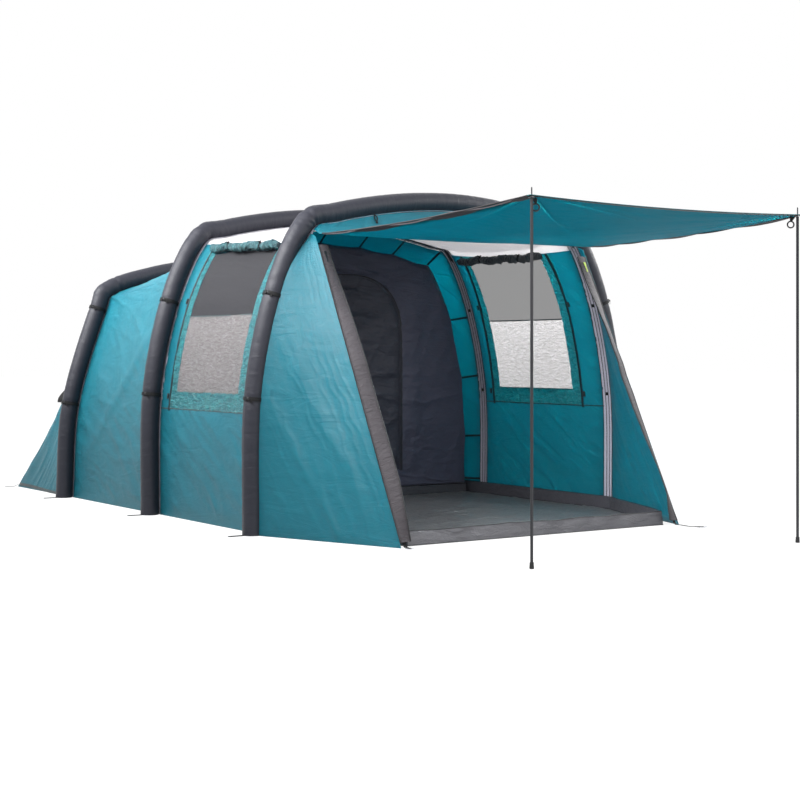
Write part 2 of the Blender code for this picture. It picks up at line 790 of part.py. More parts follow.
LEAD_DIRECTION = Vector((0.0, LEAD_FOOT_Y - LEAD_TOP_Y, -LEAD_TOP_Z)).normalized()
LEAD_LENGTH = Vector((LEAD_FOOT_Y - LEAD_TOP_Y, LEAD_TOP_Z)).length
DOOR_OUT = Vector((0.0, LEAD_DIRECTION.z, -LEAD_DIRECTION.y))
HINGE = Vector((0.0, LEAD_TOP_Y, LEAD_TOP_Z)) + DOOR_OUT * DOOR_STANDOFF


def lead_point(side, distance, x=LEAD_X):
    """A point on a wing's leading edge, a distance down from its top."""
    return Vector((side * x, LEAD_TOP_Y, LEAD_TOP_Z)) + LEAD_DIRECTION * distance


def build_wing(side, label):
    """A side wing from the front beam's leg to its leading edge, and the bound edge itself."""
    edge_x = LEAD_X + CLOTH + GAP
    top_height = arch_at(FRONT, WING_STATION_SHARES[-1], FLY_INSET).y
    grid = []
    for t in WING_STATION_SHARES:
        leg = arch_at(FRONT, t, FLY_INSET)
        rear = Vector((side * leg.x, FRONT_Y - TAPE_HALF - WING_SEAM, leg.y))
        front = lead_point(side, LEAD_LENGTH * (1.0 - leg.y / top_height), edge_x)
        if leg.y <= 0.0:
            front.z = 0.0
        width_share = (front - rear).length / LEAD_LENGTH
        line = []
        for share in spread(0.0, 1.0, WING_COLUMNS):
            point = rear.lerp(front, share)
            slack = WING_SAG * 4.0 * share * (1.0 - share) * min(1.0, t) * width_share
            point.x -= side * slack
            line.append(point)
        grid.append(line)
    sheet(f"{label}_wing", trim(grid), CLOTH, "teal polyester")
    corners = []
    for x in (LEAD_X, LEAD_X - BINDING_WIDTH):
        for cut in (BINDING_TOP_CUT, LEAD_LENGTH - BINDING_FOOT_CUT):
            corners.append(lead_point(side, cut, x))
    outline = [corners[0], corners[1], corners[3], corners[2]]
    loop_sheet(f"{label}_wing_binding", outline, None, -DOOR_OUT * BINDING_THICKNESS, "binding")


def build_header():
    """The gable panel between the front beam and the door's hinge line."""
    stations = list(HEADER_STATION_SHARES) + mirrored(reversed(HEADER_STATION_SHARES[:-1]))
    widest = arch_at(FRONT, stations[0], FLY_INSET).x
    bottom = HINGE + Vector((0.0, 0.0, 0.5 * CLOTH + 2.0 * GAP))
    grid = []
    for t in stations:
        line = arch_at(FRONT, t, FLY_INSET)
        top = Vector((line.x, FRONT_Y - TAPE_HALF - CLOTH, line.y))
        low = Vector((line.x / widest * (LEAD_X - CLOTH), bottom.y, bottom.z))
        grid.append([top.lerp(low, share) for share in spread(0.0, 1.0, 2)])
    grid = trim(grid)
    for line in grid:
        line[-1].z = bottom.z
    sheet("header_panel", grid, CLOTH, "teal polyester")


def awning_height(x, u, half):
    """How high the raised door lies at a share u of its reach, x from its middle."""
    rise = (CANOPY_CORNER - HINGE.z) * u
    across = 1.0 - min(1.0, abs(x) / half) ** 2
    belly = (AWNING_SAG * 4.0 * u * max(0.0, 1.0 - u) + AWNING_FRONT_SAG * u) * across
    edge = AWNING_EDGE_SAG * 4.0 * u * max(0.0, 1.0 - u)
    return HINGE.z + rise - belly - edge


def awning_point(share, y):
    """share runs across from -1 to 1; its end columns are straight strips beside the eyelets."""
    reach = HINGE.y - (POLE_Y - EYELET_MARGIN)
    u = (HINGE.y - y) / reach
    rear_half = LEAD_X - CLOTH
    front_half = POLE_X + EYELET_MARGIN
    half = rear_half + (front_half - rear_half) * u
    half -= AWNING_EDGE_CURVE * 4.0 * u * (1.0 - u)
    x = share * half
    return Vector((x, y, awning_height(x, u, half)))


def awning_rows():
    margin = 2.0 * EYELET_MARGIN
    tip = POLE_Y - EYELET_MARGIN
    return [HINGE.y - GAP] + spread(HINGE.y - GAP, tip + margin, 7)[1:] + [tip]


def awning_shares():
    inner = (POLE_X - EYELET_MARGIN) / (POLE_X + EYELET_MARGIN)
    return [-1.0] + spread(-inner, inner, 6) + [1.0]


def eyelet_frame(side):
    """Centre of the eyelet on the panel's underside, and the panel's normal there."""
    rows = awning_rows()[-2:]
    shares = awning_shares()[-2:]
    corners = [awning_point(side * s, y) for y in rows for s in shares]
    normal = (corners[3] - corners[0]).cross(corners[2] - corners[1])
    if normal.z < 0.0:
        normal = -normal
    normal.normalize()
    centre = sum(corners, Vector()) / 4.0
    rise = ((centre.x - side * POLE_X) * normal.x + (centre.y - POLE_Y) * normal.y) / normal.z
    return Vector((side * POLE_X, POLE_Y, centre.z + rise)), normal


def build_awning():
    """The door panel held up as an awning, with a steel eyelet in each front corner."""
    anchor = pivot_empty("awning_axis", HINGE)
    grid = [[awning_point(share, y) for share in awning_shares()] for y in awning_rows()]
    for line in grid:
        for point in line:
            point.z += 0.5 * CLOTH
    panel = sheet("awning_panel", grid, CLOTH, "teal polyester",
                  inside=Vector((0.0, POLE_Y, 0.0)))
    on_axis(panel, HINGE, anchor)
    for side, label in ((-1.0, "left"), (1.0, "right")):
        centre, normal = eyelet_frame(side)
        hole = turned(
            f"{label}_spike_hole",
            ((0.0, -OVERRUN), (EYELET_HOLE, -OVERRUN), (EYELET_HOLE, OVERRUN), (0.0, OVERRUN)),
            centre, normal, TURNED_SIDES, "webbing",
        )
        hole.parent = anchor
        hole.matrix_parent_inverse = anchor.matrix_world.inverted()
        boolean(panel, hole, "DIFFERENCE")
        under = -0.5 * CLOTH - 2.0 * GAP
        profile = (
            (EYELET_HOLE, under - EYELET_THICKNESS), (EYELET_RADIUS, under - EYELET_THICKNESS),
            (EYELET_RADIUS, under), (EYELET_HOLE, under),
        )
        eyelet = turned(f"{label}_eyelet", profile, centre, normal, TURNED_SIDES, "bright steel")
        on_axis(eyelet, HINGE, anchor)


def pole_top():
    """Height of the shoulder under the spike, just below the eyelet."""
    centre, normal = eyelet_frame(1.0)
    tilt = POLE_RADIUS * math.hypot(normal.x, normal.y) / normal.z
    return centre.z - (0.5 * CLOTH + 2.0 * GAP + EYELET_THICKNESS) / normal.z - tilt - GAP


def build_pole(side, label):
    """Foot, three plug-together tubes and a spike, all on one axis that leans about the foot."""
    axis = Vector((side * POLE_X, POLE_Y, POLE_FOOT_RADIUS))
    anchor = pivot_empty(f"{label}_pole_axis", axis)
    ground = Vector((side * POLE_X, POLE_Y, 0.0))
    up = Vector((0.0, 0.0, 1.0))
    low = POLE_FOOT_FLOOR + GAP
    section = (pole_top() - low) / 3.0
    foot = (
        (0.0, 0.0), (POLE_FOOT_BASE_SHARE * POLE_FOOT_RADIUS, 0.0),
        (POLE_FOOT_RADIUS, POLE_FOOT_EDGE_SHARE * POLE_FOOT_HEIGHT),
        (POLE_FOOT_RIM_SHARE * POLE_FOOT_RADIUS, POLE_FOOT_HEIGHT),
        (POLE_RADIUS + GAP, POLE_FOOT_HEIGHT),
        (POLE_RADIUS + GAP, POLE_FOOT_FLOOR), (0.0, POLE_FOOT_FLOOR),
    )
    pieces = [turned(f"{label}_pole_foot", foot, ground, up, TURNED_SIDES, "rubber")]
    for number, place in enumerate(("lower", "middle", "upper")):
        base = low + section * number
        top = base + section - GAP
        profile = [(POLE_RADIUS, base), (POLE_RADIUS, top)]
        if number < 2:
            tip = top + SPIGOT_LENGTH
            profile += [(SPIGOT_RADIUS, top), (SPIGOT_RADIUS, tip), (0.0, tip)]
        else:
            neck = top + SPIKE_LENGTH
            tip = neck + SPIKE_RADIUS
            profile += [(SPIKE_RADIUS, top), (SPIKE_RADIUS, neck), (0.5 * SPIKE_RADIUS, tip), (0.0, tip)]
        if number > 0:
            bore = base + SPIGOT_LENGTH + SPIKE_RADIUS
            profile = [(0.0, bore), (POLE_BORE, bore), (POLE_BORE, base)] + profile
        else:
            profile = [(0.0, base)] + profile
        pieces.append(turned(f"{label}_pole_{place}", profile, ground, up, TURNED_SIDES, "painted steel"))
    for piece in pieces:
        on_axis(piece, axis, anchor)


def inset_loop(points, distance):
    """A convex outline on the ground, moved in by distance."""
    count = len(points)
    centre = sum(points, Vector()) / count
    lines = []
    for k in range(count):
        a, b = points[k], points[(k + 1) % count]
        along = (b - a).normalized()
        normal = Vector((-along.y, along.x, 0.0))
        if normal.dot(centre - a) < 0.0:
            normal = -normal
        lines.append((a + normal * distance, along))
    moved = []
    for k in range(count):
        (a, u), (b, v) = lines[k - 1], lines[k]
        cross = u.x * v.y - u.y * v.x
        s = ((b.x - a.x) * v.y - (b.y - a.y) * v.x) / cross
        moved.append(a + u * s)
    return moved


def tray(name, outline, base, height, wall, finish):
    """A floor with upturned sides: one closed body, open at the top."""
    inner = inset_loop(outline, wall)
    bm = bmesh.new()
    levels = (
        (outline, base), (outline, base + height), (inner, base + height), (inner, base + wall),
    )
    rings = []
    for points, z in levels:
        rings.append([bm.verts.new((p.x, p.y, z)) for p in points])
    skin(bm, rings, closed=True)
    return add_object(name, bm, finish, smooth_degrees=30.0)


def both_sides(right):
    """A right-hand run of points from front to back, closed by its mirror image."""
    return right + [Vector((-p.x, p.y, p.z)) for p in reversed(right)]


def wall_inner_x(height):
    """How far out the groundsheet's upright side may stand at the tightest bay."""
    spots = []
    for first, second in ((FRONT, MIDDLE), (MIDDLE, REAR)):
        t = station_at_height(first, height)
        middle_y = 0.5 * (first.y + second.y)
        spots.append(bay_point(first, second, t, middle_y, FLY_INSET).x)
    tape = arch_at(REAR, station_at_height(REAR, height), FLY_INSET + TAPE_THICKNESS).x
    return min(min(spots) - CLOTH, tape) - 2.0 * GAP


def tail_outline(height, inset, half_width, rear_y, ease, ground=0.0, first=0.0):
    """The run of the tail's inner face at a height, from the rear beam to the corner."""
    run = []
    for t in (0.6, 1.8, KNEE):
        line = arch_at(REAR, t, inset)
        v = 1.0 - (height - ground) / (line.y - ground)
        point = tail_point(t, v, inset, half_width, rear_y, ground)
        run.append(Vector((point.x - ease, point.y, 0.0)))
    run[-1].y -= ease
    return run


def build_groundsheet():
    side = wall_inner_x(LIP_HEIGHT)
    right = [
        Vector((FLOOR_FRONT_HALF, FLOOR_FRONT_Y, 0.0)),
        Vector((side - FLOOR_EASE, FRONT_Y - TAPE_HALF, 0.0)),
        Vector((side, 0.5 * (FRONT_Y + MIDDLE_Y), 0.0)),
        Vector((side, 0.5 * (MIDDLE_Y + REAR_Y), 0.0)),
        Vector((side - FLOOR_EASE, REAR_Y + TAPE_HALF, 0.0)),
    ]
    right += tail_outline(LIP_HEIGHT, FLY_INSET, TAIL_HALF_WIDTH, TAIL_Y, FLOOR_EASE)
    tray("groundsheet", both_sides(right), 0.0, LIP_HEIGHT, SHEET, "floor fabric")


def bedroom_numbers():
    """Where the bedroom's cloth starts above its own floor tray."""
    base = SHEET + GAP
    start = base + BEDROOM_LIP + GAP
    inset = FLY_INSET + BEDROOM_INSET
    return base, start, inset


def bedroom_section(t, y, inset):
    """A point on the bedroom's walls and roof, which follow the fly."""
    return bay_point(MIDDLE, REAR, t, min(y, REAR_Y), inset) + Vector((0.0, max(0.0, y - REAR_Y), 0.0))


def bedroom_stations(start, inset):
    first = station_at_height(REAR, start, inset)
    half = [first] + list(BEDROOM_STATION_SHARES)
    return half + mirrored(reversed(half[:-1]))


def door_loop(grow):
    """The arched door in the bedroom's front: up one side, over, down the other, along the sill."""
    half = DOOR_HALF_WIDTH + grow
    rise = DOOR_TOP - DOOR_STRAIGHT_TOP + grow
    points = []
    for k in range(DOOR_ARC_STEPS + 1):
        a = math.pi * k / DOOR_ARC_STEPS
        reach = math.copysign(abs(math.cos(a)) ** DOOR_ARCH_POWER, math.cos(a))
        lift = abs(math.sin(a)) ** DOOR_ARCH_POWER
        points.append((DOOR_CENTRE_X + half * reach, DOOR_STRAIGHT_TOP + rise * lift))
    low = DOOR_BOTTOM - grow
    sides = [(DOOR_CENTRE_X + half, low), (DOOR_CENTRE_X + half, 0.5 * (low + DOOR_STRAIGHT_TOP))]
    other = [(2.0 * DOOR_CENTRE_X - x, z) for x, z in reversed(sides)]
    return [Vector((x, BEDROOM_Y, z)) for x, z in sides + points + other]


def build_bedroom():
    base, start, inset = bedroom_numbers()
    stations = bedroom_stations(start, inset)
    rear_edge = REAR_Y + TAPE_HALF
    columns = [BEDROOM_Y + 2.0 * BEDROOM_CLOTH] + spread(BEDROOM_Y, REAR_Y, 4)[1:] + [rear_edge]
    grid = [[bedroom_section(t, y, inset) for y in columns] for t in stations]
    flatten(grid, start)
    sheet("bedroom_canopy", trim(grid), BEDROOM_CLOTH, "inner fabric")
    first = station_at_height(REAR, start, inset)
    rear_y = TAIL_Y - BEDROOM_TAIL_EASE
    half_width = TAIL_HALF_WIDTH - BEDROOM_INSET
    rear = tail_grid(inset, half_width, rear_y, start, first)
    sheet("bedroom_rear", trim(rear), BEDROOM_CLOTH, "inner fabric")
    side = bedroom_section(first, 0.5 * (BEDROOM_Y + REAR_Y), inset).x - BEDROOM_CLOTH - 2.0 * GAP
    right = [Vector((side, BEDROOM_Y, 0.0)), Vector((side, rear_edge, 0.0))]
    right += tail_outline(start, inset, half_width, rear_y, 2.0 * BEDROOM_CLOTH, start)[1:]
    tray("bedroom_floor", both_sides(right), base, BEDROOM_LIP, BEDROOM_CLOTH, "floor fabric")
    build_bedroom_front(start, inset)


def flatten(grid, level):
    """Set the first and last rows of an arch-shaped grid at one level."""
    for line in (grid[0], grid[-1]):
        for point in line:
            point.z = level


def build_bedroom_front(start, inset):
    """The front wall round its arched doorway, and the door, which swings on its right side."""
    first = station_at_height(MIDDLE, start, inset)
    half = [first, FRONT_WALL_KNEE_SHARE]
    over = spread(FRONT_WALL_SHOULDER_SHARE, FULL - FRONT_WALL_SHOULDER_SHARE, DOOR_ARC_STEPS)
    outer = [bedroom_section(t, BEDROOM_Y, inset) for t in half + over + mirrored(reversed(half))]
    outer[0].z = start
    outer[-1].z = start
    rise = Vector((0.0, BEDROOM_CLOTH, 0.0))
    loop_sheet("bedroom_front", outer, door_loop(0.0), rise, "inner fabric")
    leaf = door_loop(-DOOR_SEAM)
    door = loop_sheet("bedroom_door", leaf, None, Vector((0.0, BEDROOM_CLOTH, 0.0)), "inner fabric")
    on_axis(door, Vector((leaf[0].x, BEDROOM_Y, leaf[0].z)))


def roll_shift(bay, t, depth, outward, ends):
    """How far off the wall a roll's axis must lie so that the roll just touches the cloth."""
    home = bay_point(bay.first, bay.second, t, ends[0], FLY_INSET)
    normal = arch_normal(bay.first, t)
    rows = range(bay.row(ROOF_EDGE_SHARE) - 2, bay.row(ROOF_EDGE_SHARE) + 2)
    spots = []
    for i in rows:
        for j in range(len(bay.columns) - 1):
            for a in spread(0.0, 1.0, 12):
                for b in spread(0.0, 1.0, 6):
                    low = bay.grid[i][j].lerp(bay.grid[i][j + 1], b)
                    high = bay.grid[i + 1][j].lerp(bay.grid[i + 1][j + 1], b)
                    spot = low.lerp(high, a)
                    if ends[0] <= spot.y <= ends[1]:
                        spots.append(Vector((spot.x, spot.z)) - normal * depth)
    shift = 0.0
    for _ in range(400):
        axis = Vector((home.x, home.z)) + normal * (outward * shift)
        if min((spot - axis).length for spot in spots) > ROLL_RADIUS + GAP and shift > 0.0:
            break
        shift += GAP
    return axis


def build_rolls(bay):
    """Rolled covers over the windows: outside on the left wall, inside on the right wall."""
    centre_y = 0.5 * (WINDOW_FRONT_Y + WINDOW_REAR_Y)
    ends = (centre_y - 0.5 * ROLL_LENGTH, centre_y + 0.5 * ROLL_LENGTH)
    t = station_at_height(FRONT, ROLL_HEIGHT)
    for label, side, outward, depth in (("left", -1.0, 1.0, 0.0), ("right", 1.0, -1.0, CLOTH)):
        axis = roll_shift(bay, t, depth, outward, ends)
        place = Vector((side * axis.x, ends[0], axis.y))
        end = ROLL_END_SHARE * ROLL_RADIUS
        profile = (
            (0.0, 0.0), (end, 0.0), (ROLL_RADIUS, end), (ROLL_RADIUS, ROLL_LENGTH - end),
            (end, ROLL_LENGTH), (0.0, ROLL_LENGTH),
        )
        turned(f"{label}_window_roll", profile, place, Vector((0.0, 1.0, 0.0)), ROLL_SIDES,
               "teal polyester")


def build_corner_strap(side, label):
    """Webbing at a door corner, folded round the bar of a steel ring that can lift."""
    foot = lead_point(side, LEAD_LENGTH - BINDING_FOOT_CUT, LEAD_X - 0.5 * BINDING_WIDTH)
    heading = math.radians(STRAP_HEADING)
    out = Vector((side * math.sin(heading), -math.cos(heading), 0.0))
    start = Vector((foot.x, foot.y, 0.0))
    across = Vector((-out.y, out.x, 0.0)) * (0.5 * STRAP_WIDTH)
    length = STRAP_LENGTHS[label]
    bend = RING_WIRE + RING_PLAY + 0.5 * STRAP_THICKNESS
    bar_z = STRAP_THICKNESS + RING_WIRE + RING_PLAY
    clear = 0.5 * STRAP_THICKNESS + GAP - DOOR_OUT.y * abs(across.y)
    middle = []
    for height in (STRAP_TOP, foot.z + STRAP_THICKNESS):
        middle.append(Vector(((clear - (height - foot.z) * DOOR_OUT.z) / DOOR_OUT.dot(out), height)))
    middle.append(Vector((STRAP_FLAT_SHARE * length, bar_z + bend)))
    for k in range(RING_STEPS + 1):
        a = 0.5 * math.pi - math.pi * k / RING_STEPS
        middle.append(Vector((length + bend * math.cos(a), bar_z + bend * math.sin(a))))
    middle.append(Vector((STRAP_RETURN_SHARE * length, bar_z - bend)))
    left, right = [], []
    for k, point in enumerate(middle):
        ahead = middle[min(k + 1, len(middle) - 1)] - middle[max(k - 1, 0)]
        normal = Vector((-ahead.y, ahead.x)).normalized() * (0.5 * STRAP_THICKNESS)
        left.append(point + normal)
        right.append(point - normal)
    outline = [start + out * p.x + Vector((0.0, 0.0, p.y)) - across for p in left + right[::-1]]
    loop_sheet(f"{label}_corner_strap", outline, None, 2.0 * across, "webbing")
    bar = start + out * length + Vector((0.0, 0.0, bar_z))
    build_ring(label, bar, out)


def build_ring(label, bar, out):
    """A long steel ring: a wire swept round a path with two straight sides."""
    across = Vector((-out.y, out.x, 0.0))
    half = 0.5 * RING_STRAIGHT
    centre = bar + out * RING_END_RADIUS
    path = []
    for sign, start in ((1.0, -0.5 * math.pi), (-1.0, 0.5 * math.pi)):
        for k in range(RING_STEPS + 1):
            a = start + math.pi * k / RING_STEPS
            spot = centre + across * (sign * half + RING_END_RADIUS * math.cos(a))
            path.append(spot + out * (RING_END_RADIUS * math.sin(a)))
    bm = bmesh.new()
    rings = []
    count = len(path)
    up = Vector((0.0, 0.0, 1.0))
    for k in range(count):
        along = (path[(k + 1) % count] - path[k - 1]).normalized()
        beside = along.cross(up)
        ring = []
        for s in range(RING_SIDES):
            a = 2.0 * math.pi * s / RING_SIDES
            off = beside * (RING_WIRE * math.cos(a)) + up * (RING_WIRE * math.sin(a))
            ring.append(bm.verts.new(path[k] + off))
        rings.append(ring)
    skin(bm, rings + [rings[0]])
    ring = add_object(f"{label}_corner_ring", bm, "bright steel")
    on_axis(ring, bar)


def build_slider(side, label):
    """The slider of a door zip, parked near the top of the bound edge, with its cord pull."""
    x = LEAD_X - 0.5 * BINDING_WIDTH
    place = lead_point(side, SLIDER_TOP, x) + DOOR_OUT * GAP
    half = 0.5 * SLIDER_WIDTH
    waist = SLIDER_WAIST_SHARE * SLIDER_WIDTH
    pull = 0.5 * PULL_WIDTH
    shape = (
        (-half, 0.0), (half, 0.0), (half, 0.5 * SLIDER_LENGTH), (waist, SLIDER_LENGTH),
        (-waist, SLIDER_LENGTH), (-half, 0.5 * SLIDER_LENGTH),
    )
    bm = bmesh.new()
    rings = []
    for level in (0.0, SLIDER_THICKNESS):
        ring = []
        for a, b in shape:
            spot = place + Vector((a, 0.0, 0.0)) + LEAD_DIRECTION * b + DOOR_OUT * level
            ring.append(bm.verts.new(spot))
        rings.append(ring)
    skin(bm, rings, closed=True)
    slider = add_object(f"{label}_zip_slider", bm, "lime cord", smooth_degrees=30.0)
    tongue = [
        place + Vector((a, 0.0, 0.0)) + LEAD_DIRECTION * b + DOOR_OUT * (SLIDER_THICKNESS - PULL_THICKNESS)
        for a, b in ((-pull, waist), (pull, waist), (pull, SLIDER_LENGTH + PULL_LENGTH),
                     (-pull, SLIDER_LENGTH + PULL_LENGTH))
    ]
    cord = loop_sheet(f"{label}_zip_pull", tongue, None, DOOR_OUT * (0.8 * PULL_THICKNESS), "lime cord")
    boolean(slider, cord, "UNION")


def grid_x(grid, y, z):
    """How far out the right half of a grid's facets lies at a given y and z."""
    found = []
    for i in range(len(grid) // 2):
        for j in range(len(grid[0]) - 1):
            a, b, c, d = grid[i][j], grid[i][j + 1], grid[i + 1][j + 1], grid[i + 1][j]
            for p, q, r in ((a, b, c), (a, c, d), (a, b, d), (b, c, d)):
                area = (q.y - p.y) * (r.z - p.z) - (r.y - p.y) * (q.z - p.z)
                if area == 0.0:
                    continue
                u = ((y - p.y) * (r.z - p.z) - (r.y - p.y) * (z - p.z)) / area
                v = ((q.y - p.y) * (z - p.z) - (y - p.y) * (q.z - p.z)) / area
                if u >= 0.0 and v >= 0.0 and u + v <= 1.0:
                    found.append(p.x + (q.x - p.x) * u + (r.x - p.x) * v)
    return max(found)


def build_vent():
    """A small hood on the left side of the tail that swings on its top edge."""
    cloth = tail_grid(FLY_INSET, TAIL_HALF_WIDTH, TAIL_Y)
    start = VENT_Y - 0.5 * VENT_LENGTH
    edge = [grid_x(cloth, start + VENT_LENGTH * share, VENT_TOP) for share in spread(0.0, 1.0, 12)]
    root = max(edge) + VENT_STAND
    grid = []
    for down in spread(0.0, 1.0, 3):
        line = []
        height = VENT_TOP - VENT_DROP * down
        for across in spread(0.0, 1.0, 4):
            y = start + VENT_LENGTH * across
            bow = VENT_SIDE_SHARE + (1.0 - VENT_SIDE_SHARE) * math.sin(math.pi * across)
            swell = VENT_REACH * math.sin(0.5 * math.pi * down) * bow
            lean = max(0.0, grid_x(cloth, y, height) - grid_x(cloth, y, VENT_TOP))
            line.append(Vector((-(root + lean + swell), y, height)))
        grid.append(line)
    hood = sheet("rear_vent_hood", grid, VENT_THICKNESS, "inner fabric",
                 inside=Vector((0.0, VENT_Y, VENT_TOP - VENT_DROP)))
    on_axis(hood, Vector((-root, VENT_Y, VENT_TOP)))
    print("vent hood hinge", tuple(round(c, 4) for c in (-root, VENT_Y, VENT_TOP)))


def main():
    clear_scene()
    for beam in (FRONT, MIDDLE, REAR):
        build_sleeve(beam)
        build_bladder(beam)
        build_valve(beam)
        build_tape(beam)
    front_bay = make_front_bay()
    build_front_bay(front_bay)
    build_rear_bay(make_rear_bay())
    build_tail()
    build_header()
    build_rolls(front_bay)
    build_awning()
    build_groundsheet()
    build_bedroom()
    build_vent()
    for side, label in ((-1.0, "left"), (1.0, "right")):
        build_wing(side, label)
        build_pole(side, label)
        build_corner_strap(side, label)
        build_slider(side, label)


main()
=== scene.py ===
# %% [markdown]
# An air tent: three arched air beams carry a coated fly, with windows in the front room, a dark
# bedroom behind and the door panel raised on two poles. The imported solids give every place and
# size. This script dresses them: each cloth solid is replaced by a fine sheet with its wrinkles,
# hems, zips and stitches, and the rigid pieces keep their solids and get a real finish.

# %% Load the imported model
import math

import bmesh
import bpy
import numpy as np
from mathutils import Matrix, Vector


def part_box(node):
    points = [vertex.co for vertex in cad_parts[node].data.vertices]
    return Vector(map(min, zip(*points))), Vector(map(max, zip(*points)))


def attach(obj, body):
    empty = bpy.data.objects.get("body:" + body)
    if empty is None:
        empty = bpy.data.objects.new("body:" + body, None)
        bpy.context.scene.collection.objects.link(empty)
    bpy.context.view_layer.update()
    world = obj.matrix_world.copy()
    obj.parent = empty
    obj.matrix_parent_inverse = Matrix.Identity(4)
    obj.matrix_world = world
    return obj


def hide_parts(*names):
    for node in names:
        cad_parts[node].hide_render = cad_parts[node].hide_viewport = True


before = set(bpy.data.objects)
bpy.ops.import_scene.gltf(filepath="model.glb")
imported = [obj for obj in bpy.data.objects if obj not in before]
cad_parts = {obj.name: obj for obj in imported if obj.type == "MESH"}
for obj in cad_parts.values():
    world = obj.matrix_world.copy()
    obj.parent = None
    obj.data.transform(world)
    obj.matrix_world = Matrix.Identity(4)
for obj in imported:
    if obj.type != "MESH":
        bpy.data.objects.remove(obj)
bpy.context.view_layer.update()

# %% [markdown]
# Three helpers serve every cell: one puts a new object into the scene, one turns a colour from its
# usual sRGB hex code into the linear numbers that a shader wants, and one adds a node with its
# settings and its links.

# %% Colour and node helpers
def show(made):
    """Put a new object into the scene."""
    bpy.context.scene.collection.objects.link(made)
    return made


def paint(code):
    """An sRGB hex colour as linear red, green, blue and full alpha."""
    parts = [int(code[i:i + 2], 16) / 255.0 for i in (1, 3, 5)]
    return tuple(p / 12.92 if p <= 0.04045 else ((p + 0.055) / 1.055) ** 2.4 for p in parts) + (1.0,)


def add(tree, kind, sockets=None, **settings):
    """Add a node; settings are its properties, sockets its input values or links by name."""
    made = tree.nodes.new(kind)
    for key, value in settings.items():
        setattr(made, key, value)
    for key, value in (sockets or {}).items():
        if isinstance(value, bpy.types.NodeSocket):
            tree.links.new(value, made.inputs[key])
        else:
            made.inputs[key].default_value = value
    return made


print("white is", paint("#FFFFFF"))

# %% [markdown]
# The camera stands off the front left corner at about chest height and looks level, so upright
# poles stay upright. A small vertical shift puts the horizon where it belongs without a tilt.

# %% Camera
FOCAL_PIXELS, FRAME_PIXELS = 1556.7, 800.0
camera_data = bpy.data.cameras.new("camera")
camera_data.sensor_width = 36.0
camera_data.lens = camera_data.sensor_width * FOCAL_PIXELS / FRAME_PIXELS
camera_data.shift_y = -0.0577
camera = show(bpy.data.objects.new("camera", camera_data))
camera.location = (-5.7544, -7.9878, 1.0545)
camera.rotation_euler = (math.radians(90.0), 0.0, math.radians(-34.0))
bpy.context.scene.camera = camera
print("lens", round(camera_data.lens, 2), "mm")

# %% [markdown]
# The studio is a pale floor under a sky that is brighter overhead than at the horizon. A wide high
# lamp and a wide low one from the door side give the even light, and a long soft box above each
# side puts the pale gloss on the upper walls, which fades towards the ground. A weak panel in the
# doorway lights the room. Seen by the camera, the world and the floor are white, by Light Path and
# not by more light, and the floor still darkens where the tent shades it.

# %% Floor, sky and lamps
SEEN = ("Is Camera Ray", "Is Glossy Ray", "Is Transmission Ray")
FLOOR_REACH, FLOOR_DROP = 60.0, 0.002
FLOOR_GLOW, GLOW_SHARE = 1.27, 0.7
SOFT_BOX, SOFT_BOX_X, SOFT_BOX_Z = (6.5, 1.1), 2.9, 2.8


def seen_directly(tree):
    """1 for a ray from the eye, also by way of a mirror or clear sheet, and 0 for stray light."""
    path = add(tree, "ShaderNodeLightPath")
    total = path.outputs[SEEN[0]]
    for name in SEEN[1:]:
        total = add(tree, "ShaderNodeMath", {0: total, 1: path.outputs[name]}, operation="MAXIMUM").outputs[0]
    return total


def lamp(name, kind, aim, place=(0.0, 0.0, 0.0), **settings):
    """A lamp that shines along aim; settings are the light's own properties."""
    light = bpy.data.lights.new(name, kind)
    for key, value in settings.items():
        setattr(light, key, value)
    holder = show(bpy.data.objects.new(name, light))
    holder.location = place
    holder.rotation_euler = Vector(aim).to_track_quat("-Z", "Y").to_euler()
    holder.visible_camera = kind != "AREA"


def panel_lamp(name, aim, place, size, power, spread):
    """A rectangular lamp with its size, power and spread in degrees."""
    lamp(name, "AREA", aim, place, shape="RECTANGLE", size=size[0], size_y=size[1], energy=power,
         spread=math.radians(spread))


world = bpy.data.worlds.new("studio sky")
world.use_nodes = True
sky = world.node_tree
sky.nodes.clear()
toward = add(sky, "ShaderNodeSeparateXYZ", {0: add(sky, "ShaderNodeTexCoord").outputs["Generated"]})
overhead = add(sky, "ShaderNodeMapRange", {"Value": toward.outputs["Z"], "From Min": 0.0, "From Max": 0.9,
                                           "To Min": 0.08, "To Max": 0.55}, interpolation_type="SMOOTHSTEP")
stray = add(sky, "ShaderNodeBackground", {"Color": paint("#F2F6FA"), "Strength": overhead.outputs[0]})
white = add(sky, "ShaderNodeBackground", {"Color": paint("#FFFFFF"), "Strength": 1.0})
both = add(sky, "ShaderNodeMixShader", {0: seen_directly(sky), 1: stray.outputs[0], 2: white.outputs[0]})
add(sky, "ShaderNodeOutputWorld", {"Surface": both.outputs[0]})
bpy.context.scene.world = world

